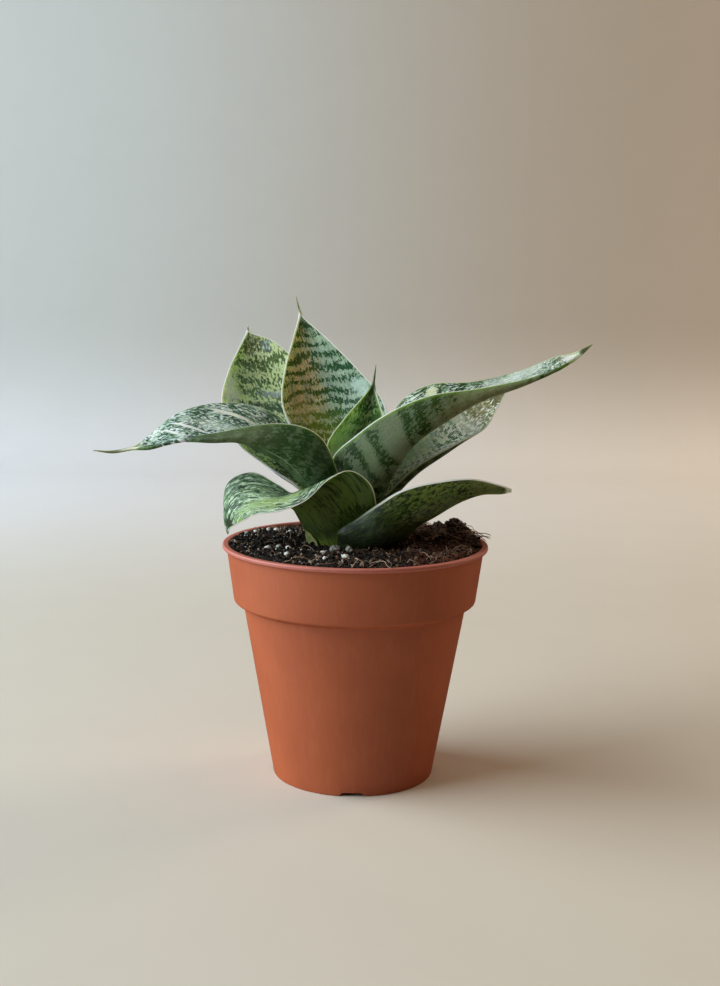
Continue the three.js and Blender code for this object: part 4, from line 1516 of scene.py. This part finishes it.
                Patch(Face.UPPER, 2.0, 77.0, 14.0, 2.2, (66, 98, 78), 0.6, ragged=0.9),
                Patch(Face.UPPER, -4.0, 66.0, 8.0, 5.0, (150, 176, 176), 0.5, ragged=0.9),
            ),
            margin=(240, 244, 238), margin_mm=0.6, tip=(190, 182, 170), tip_mm=3.0, seed=14.2,
        ),
    ),
    Leaf(
        node="leaf_rear_right", slot="leaf_pale",
        stations=(
            ((9, -2, 78), (9, 5, 78), (2, 11, 78), 2.2),
            ((9, 3, 108), (13, 10, 107), (1.5, 16, 112), 2.0),
            ((13, 6, 113), (15.5, 14, 113.5), (7, 20, 123), 1.7),
            ((24.5, 10, 123), (23, 20, 121), (16, 25, 133.5), 1.5),
            ((40, 15, 131.5), (34, 26, 129.5), (26, 30, 143.5), 1.3),
            ((51.5, 19, 137), (44, 29, 139.5), (38.5, 32, 150), 1.1),
            ((57, 23, 145), (54, 31, 148), (50, 32, 153), 0.9),
            ((62, 29, 152.5), (61, 29.5, 152.7), (60.5, 29.5, 153.5), 0.5),
            ((64.6, 30, 155), (64.5, 30, 155.1), (64.4, 30, 155.2), 0.15),
        ),
        skin=LeafSkin(
            name="leaf_rear_right_skin",
            upper=Bands(
                dark=(112, 144, 100), light=(240, 252, 228), fleck=(255, 255, 244), deep=(46, 66, 34),
                pitch_mm=3.6, banding=0.35, wave_mm=3.0, light_share=0.52, speckle=2.0, dash=1.6,
                # Painted light: the left half is made near white, as lit by the window.
                streak=0.4, fleck_strength=0.9, left_dark=(168, 206, 174), left_light=(244, 255, 244),
            ),
            under=PLAIN_UNDER, length_mm=106.0,
            patches=(
                Patch(Face.UPPER, 0.0, 89.0, 14.0, 8.0, (156, 138, 72), 0.65, ragged=1.2),
                Patch(Face.UPPER, 0.0, 99.0, 14.0, 6.0, (104, 92, 40), 0.9, ragged=0.6),
                # Partly the leaf's white flecks, partly a painted highlight across the middle.
                Patch(Face.UPPER, -2.0, 78.0, 12.0, 2.4, (255, 255, 240), 0.6, ragged=1.0),
                # Painted sheen: a bluish-white patch low on the left half.
                Patch(Face.UPPER, 8.0, 54.0, 8.0, 14.0, (226, 246, 250), 0.75),
                Patch(Face.UPPER, -7.0, 48.0, 7.0, 16.0, (140, 160, 154), 0.7),
            ),
            tip=(70, 62, 34), tip_mm=5.0, seed=17.7,
        ),
    ),
    Leaf(
        node="leaf_low_left", slot="leaf_mid",
        stations=(
            ((-13, -2, 78), (-9, -11, 78), (4, -12, 78), 2.2),
            ((-16, -4, 98), (-10.5, -14, 96), (7, -14, 100), 2.1),
            ((-18, -6, 106), (-15.5, -17.5, 103.5), (8, -18, 110.5), 1.9),
            ((-18.5, -12.5, 114.5), (-19.5, -21, 109.5), (5.5, -21, 120), 1.6),
            ((-17, -17, 118), (-22.5, -22, 111.5), (-2, -24, 125.5), 1.4),
            ((-20, -17.5, 117), (-26.5, -20.5, 113), (-10, -27, 122.5), 1.2),
            ((-24.5, -13.5, 115), (-31, -18, 113.5), (-18.5, -28, 114.5), 1.1),
            ((-30.5, -8, 117.5), (-38.5, -14, 114), (-28.5, -27, 110), 1.1),
            ((-41, 0, 121), (-45, -10, 112.5), (-37.5, -23, 108), 1.0),
            ((-51, 3, 116), (-49, -8, 108.5), (-44, -18, 104), 0.9),
            ((-51.5, -3, 104.5), (-50.5, -8, 102.5), (-48.5, -12, 100.5), 0.7),
            ((-49.8, -10.5, 98), (-49.6, -10.8, 98), (-49.4, -11.1, 98), 0.2),
        ),
        skin=LeafSkin(
            name="leaf_low_left_skin",
            upper=Bands(
                dark=(72, 102, 70), light=(132, 162, 122), fleck=(214, 234, 200), deep=(34, 56, 36),
                pitch_mm=26.0, banding=0.2, light_share=0.52, speckle=0.6, dash=1.2, streak=3.2,
                lines=1.2, soft=0.15, fleck_strength=0.85, deep_strength=1.0,
            ),
            under=Bands(
                dark=(56, 86, 26), light=(90, 118, 46), fleck=(96, 118, 50), deep=(22, 38, 8),
                pitch_mm=30.0, banding=0.25, light_share=0.4, speckle=0.4, dash=0.8, streak=1.8,
                lines=1.8, soft=0.3, deep_strength=0.8,
            ),
            length_mm=84.0,
            patches=(
                Patch(Face.UNDER, 3.0, 31.0, 7.0, 6.0, (110, 126, 70), 0.4, ragged=0.9),
                Patch(Face.UNDER, 0.0, 18.0, 22.0, 8.0, (22, 34, 12), 0.75),
                Patch(Face.UPPER, 0.0, 42.0, 16.0, 5.0, (48, 76, 28), 0.75, ragged=1.0),
                Patch(Face.UPPER, 9.0, 58.0, 3.6, 14.0, (190, 220, 130), 0.45, 6.0, 1.0),
                Patch(Face.UPPER, 5.6, 77.0, 4.0, 3.6, (46, 56, 34), 0.95, ragged=0.3),
            ),
            inner_margin_strength=0.15, tip=(74, 84, 62), tip_mm=4.0, seed=21.3,
        ),
    ),
    Leaf(
        node="leaf_low_right", slot="leaf_dark",
        stations=(
            ((-8, -15, 78), (3, -18.5, 78), (14, -9, 78), 2.3),
            ((-7, -18, 96.5), (4, -18.5, 93), (16, -5, 94.5), 2.2),
            ((-6.5, -21, 102), (9.5, -20, 96.5), (20.5, -2, 100), 2.1),
            ((0, -22, 106.5), (15, -20, 99.5), (25.5, 2, 105.5), 1.9),
            ((9, -23, 113), (20.5, -20, 104), (30.5, 5, 110), 1.7),
            ((17.5, -22, 118), (28.5, -20, 108.5), (36, 5, 114), 1.5),
            ((30, -20, 121), (38, -18, 113.5), (42, 2, 117), 1.3),
            ((43.5, -17, 122), (47.5, -16, 116.5), (49.5, -2, 118.5), 1.1),
            ((54.5, -14, 119.5), (55.5, -14, 116.5), (56, -7, 117.5), 0.9),
            ((60, -12.6, 117.6), (60, -12, 116.8), (60, -11, 117.4), 0.7),
        ),
        skin=LeafSkin(
            name="leaf_low_right_skin",
            upper=Bands(dark=(70, 92, 56), light=(134, 152, 116), fleck=(170, 184, 150)),
            under=Bands(
                dark=(40, 58, 14), light=(84, 102, 40), fleck=(112, 122, 56), deep=(14, 22, 4),
                pitch_mm=16.0, banding=0.15, speckle=1.2, dash=2.4, streak=0.3, lines=0.3, soft=0.3,
                deep_strength=0.95,
            ),
            length_mm=79.0,
            patches=(
                Patch(Face.UNDER, -4.0, 72.0, 8.0, 9.0, (150, 160, 104), 0.35, ragged=0.8),
                # Painted shade: the base is darkened on both faces.
                Patch(Face.BOTH, 0.0, 28.0, 26.0, 14.0, (28, 42, 12), 0.65, ragged=0.4),
            ),
            margin=(244, 244, 232), margin_mm=0.9, margin_from_mm=34.0, inner_margin_strength=0.1,
            # The base colour here is near black: painted shade over the leaf's base.
            base=(12, 20, 6), base_mm=34.0, tip=(224, 230, 220), tip_mm=4.0, seed=26.8,
        ),
    ),
    Leaf(
        node="basal_scale", slot="scale",
        stations=(
            ((-13, -1, 78), (-16, -7, 78), (-12, -13, 78), 0.9),
            ((-15, -1, 94), (-18, -8, 93.5), (-14, -15, 94), 0.8),
            ((-17.5, -5, 99), (-19, -9.5, 98.5), (-17, -14.5, 99), 0.6),
            ((-19.6, -10.7, 102.5), (-19.7, -11, 102.5), (-19.6, -11.3, 102.5), 0.2),
        ),
        skin=ScaleSkin(), rows=60, columns=40,
    ),
)


# ---------------------------------------------------------------------------------------------
# Studio
# ---------------------------------------------------------------------------------------------


@dataclass(frozen=True)
class SoftBox:
    """A rectangular area light that looks at a target, with its power in watts."""

    name: str
    place: Point
    target: Point
    width: float
    height: float
    power: float
    colour: Colour

    def hang(self) -> None:
        """Adds the light."""
        data = bpy.data.lights.new(self.name, "AREA")
        data.shape = "RECTANGLE"
        data.size = self.width
        data.size_y = self.height
        data.energy = self.power
        data.color = linear(self.colour)[:3]
        lamp = bpy.data.objects.new(self.name, data)
        lamp.location = self.place
        look = Vector(self.target) - Vector(self.place)
        lamp.rotation_euler = look.to_track_quat("-Z", "Y").to_euler()
        bpy.context.scene.collection.objects.link(lamp)


@dataclass(frozen=True)
class Studio:
    """The camera, the paper sweep and the soft lights."""

    camera_place: Point = (0.0016, -0.546, 0.1975)
    pitch_degrees: float = 8.77
    roll_degrees: float = 0.72
    focal_px: float = 1400.0
    frame_px: tuple[int, int] = (720, 986)
    sensor_mm: float = 36.0
    clip: Pair = (0.01, 20.0)
    sweep_half_width: float = 2.6
    sweep_front: float = -1.6
    sweep_back: float = 0.85
    sweep_curve: float = 0.45
    sweep_top: float = 2.2
    sky: Colour = (255, 214, 172)
    sky_strength: float = 0.085
    paper: PaperSweep = PaperSweep()
    boxes: tuple[SoftBox, ...] = (
        SoftBox("window", (-1.25, -0.1, 0.72), (0.0, 0.0, 0.1), 1.7, 1.2, 37.0, (230, 246, 255)),
        SoftBox("ceiling", (-0.25, -0.3, 1.5), (0.0, 0.0, 0.0), 1.2, 1.2, 2.4, (255, 226, 194)),
        SoftBox("back_lamp", (1.5, 1.0, 0.8), (0.4, 0.75, 0.0), 0.8, 0.8, 11.0, (255, 232, 204)),
    )

    def camera(self) -> None:
        """Sets the camera up as the picture was taken."""
        pitch, roll = math.radians(self.pitch_degrees), math.radians(self.roll_degrees)
        right = Vector((1, 0, 0))
        ahead = Vector((0, math.cos(pitch), -math.sin(pitch)))
        up = Vector((0, math.sin(pitch), math.cos(pitch)))
        rolled_right = right * math.cos(roll) + up * math.sin(roll)
        rolled_up = up * math.cos(roll) - right * math.sin(roll)
        data = bpy.data.cameras.new("camera")
        data.sensor_fit = "AUTO"
        data.sensor_width = self.sensor_mm
        data.lens = self.focal_px / max(self.frame_px) * self.sensor_mm
        data.clip_start, data.clip_end = self.clip
        camera = bpy.data.objects.new("camera", data)
        turn = Matrix((rolled_right, rolled_up, -ahead)).transposed().to_4x4()
        camera.matrix_world = Matrix.Translation(Vector(self.camera_place)) @ turn
        bpy.context.scene.collection.objects.link(camera)
        bpy.context.scene.camera = camera

    def sweep(self) -> None:
        """Builds the paper: a floor that curves up into a wall."""
        bm = bmesh.new()
        curve = self.sweep_curve
        turns = [math.radians(angle) for angle in range(0, 91, 5)]
        arc = [(self.sweep_back + curve * math.sin(a), curve * (1 - math.cos(a))) for a in turns]
        line = [(self.sweep_front, 0.0), *arc, (self.sweep_back + curve, self.sweep_top)]
        verts = [bm.verts.new((self.sweep_half_width, y, z)) for y, z in line]
        edges = [bm.edges.new(pair) for pair in zip(verts, verts[1:])]
        made = bmesh.ops.extrude_edge_only(bm, edges=edges)["geom"]
        moved = [item for item in made if isinstance(item, bmesh.types.BMVert)]
        bmesh.ops.translate(bm, verts=moved, vec=(-2 * self.sweep_half_width, 0, 0))
        piece = to_piece("paper_sweep", bm, self.paper)
        piece.visible_glossy = False

    def light(self) -> None:
        """Hangs the soft boxes and sets the room's own light."""
        for box in self.boxes:
            box.hang()
        world = bpy.data.worlds.new("room")
        world.use_nodes = True
        background = world.node_tree.nodes["Background"]
        background.inputs["Color"].default_value = linear(self.sky)
        background.inputs["Strength"].default_value = self.sky_strength
        bpy.context.scene.world = world
        world.cycles_visibility.glossy = False
        bpy.context.scene.view_settings.view_transform = "Standard"

    def build(self) -> None:
        """Sets up the camera, the paper and the lights."""
        self.camera()
        self.sweep()
        self.light()


@dataclass
class SnakePlant:
    """The whole plant: the pot, the mix with its grains, the crown and the leaves."""

    frame: dict
    pot: NurseryPot = NurseryPot()
    mix: PottingMix = PottingMix()
    leaves: tuple[Leaf, ...] = LEAVES

    def grain_sets(self) -> tuple[GrainSet, ...]:
        """The perlite, the grit and the bark that the frame has nodes for."""
        perlite = (
            Grain(-44.5, 13, 0.92, 10), Grain(-41, 19.5, 1.02, 50), Grain(-36, 25, 0.92, 80),
            Grain(-32.5, 19, 1.02, 120), Grain(-26.5, 10, 1.12, 15), Grain(-33.5, -17, 1.02, 200),
            Grain(-29.5, -15, 0.92, 70), Grain(-25.5, -21, 1.12, 300), Grain(-25.5, -31.5, 0.92, 140),
            Grain(-12, -27.5, 1.02, 35), Grain(-11, -37.5, 0.82, 220), Grain(-3.5, -34.5, 1.12, 165),
        )
        grit = (Grain(-7.6, -25.4, 1.6, 25), Grain(-2.2, -25.8, 1.5, 75))
        bark = (Grain(34, 27, 1.8, 130), Grain(40, 17, 2.6, 40))
        white = GrainFinish("perlite_grain", (252, 250, 244), (232, 228, 218), dirt_strength=0.15)
        grey = GrainFinish("grit_grain", (176, 174, 162), (110, 110, 100))
        brown = GrainFinish("bark_grain", (96, 70, 52), (48, 34, 26), pit_scale=1.4)
        return (
            GrainSet("perlite_grains", "perlite", 1, "perlite", white, perlite),
            GrainSet("grit_grains", "grit", 1, "chip", grey, grit, rough=0.45),
            GrainSet("bark_chips", "bark", 3, "chip", brown, bark, rough=0.6),
        )

    def build(self) -> None:
        """Builds every piece, from the pot up."""
        self.pot.build()
        self.mix.build()
        for grains in self.grain_sets():
            grains.build(self.mix)
        self.dress_crown()
        for leaf in self.leaves:
            leaf.build()

    def dress_crown(self) -> None:
        """Gives the buried crown, whose own solid stays, its finish."""
        crown = self.frame["nodes"]["rhizome_crown"]
        crown.data.materials.clear()
        crown.data.materials.append(CrownFinish().dress())
        LOG.info("rhizome_crown: dressed")


def main() -> None:
    """Builds the studio and the plant."""
    logging.basicConfig(level=logging.INFO, format="%(name)s: %(message)s")
    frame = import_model()
    Studio().build()
    SnakePlant(frame).build()


if __name__ == "__main__":
    main()
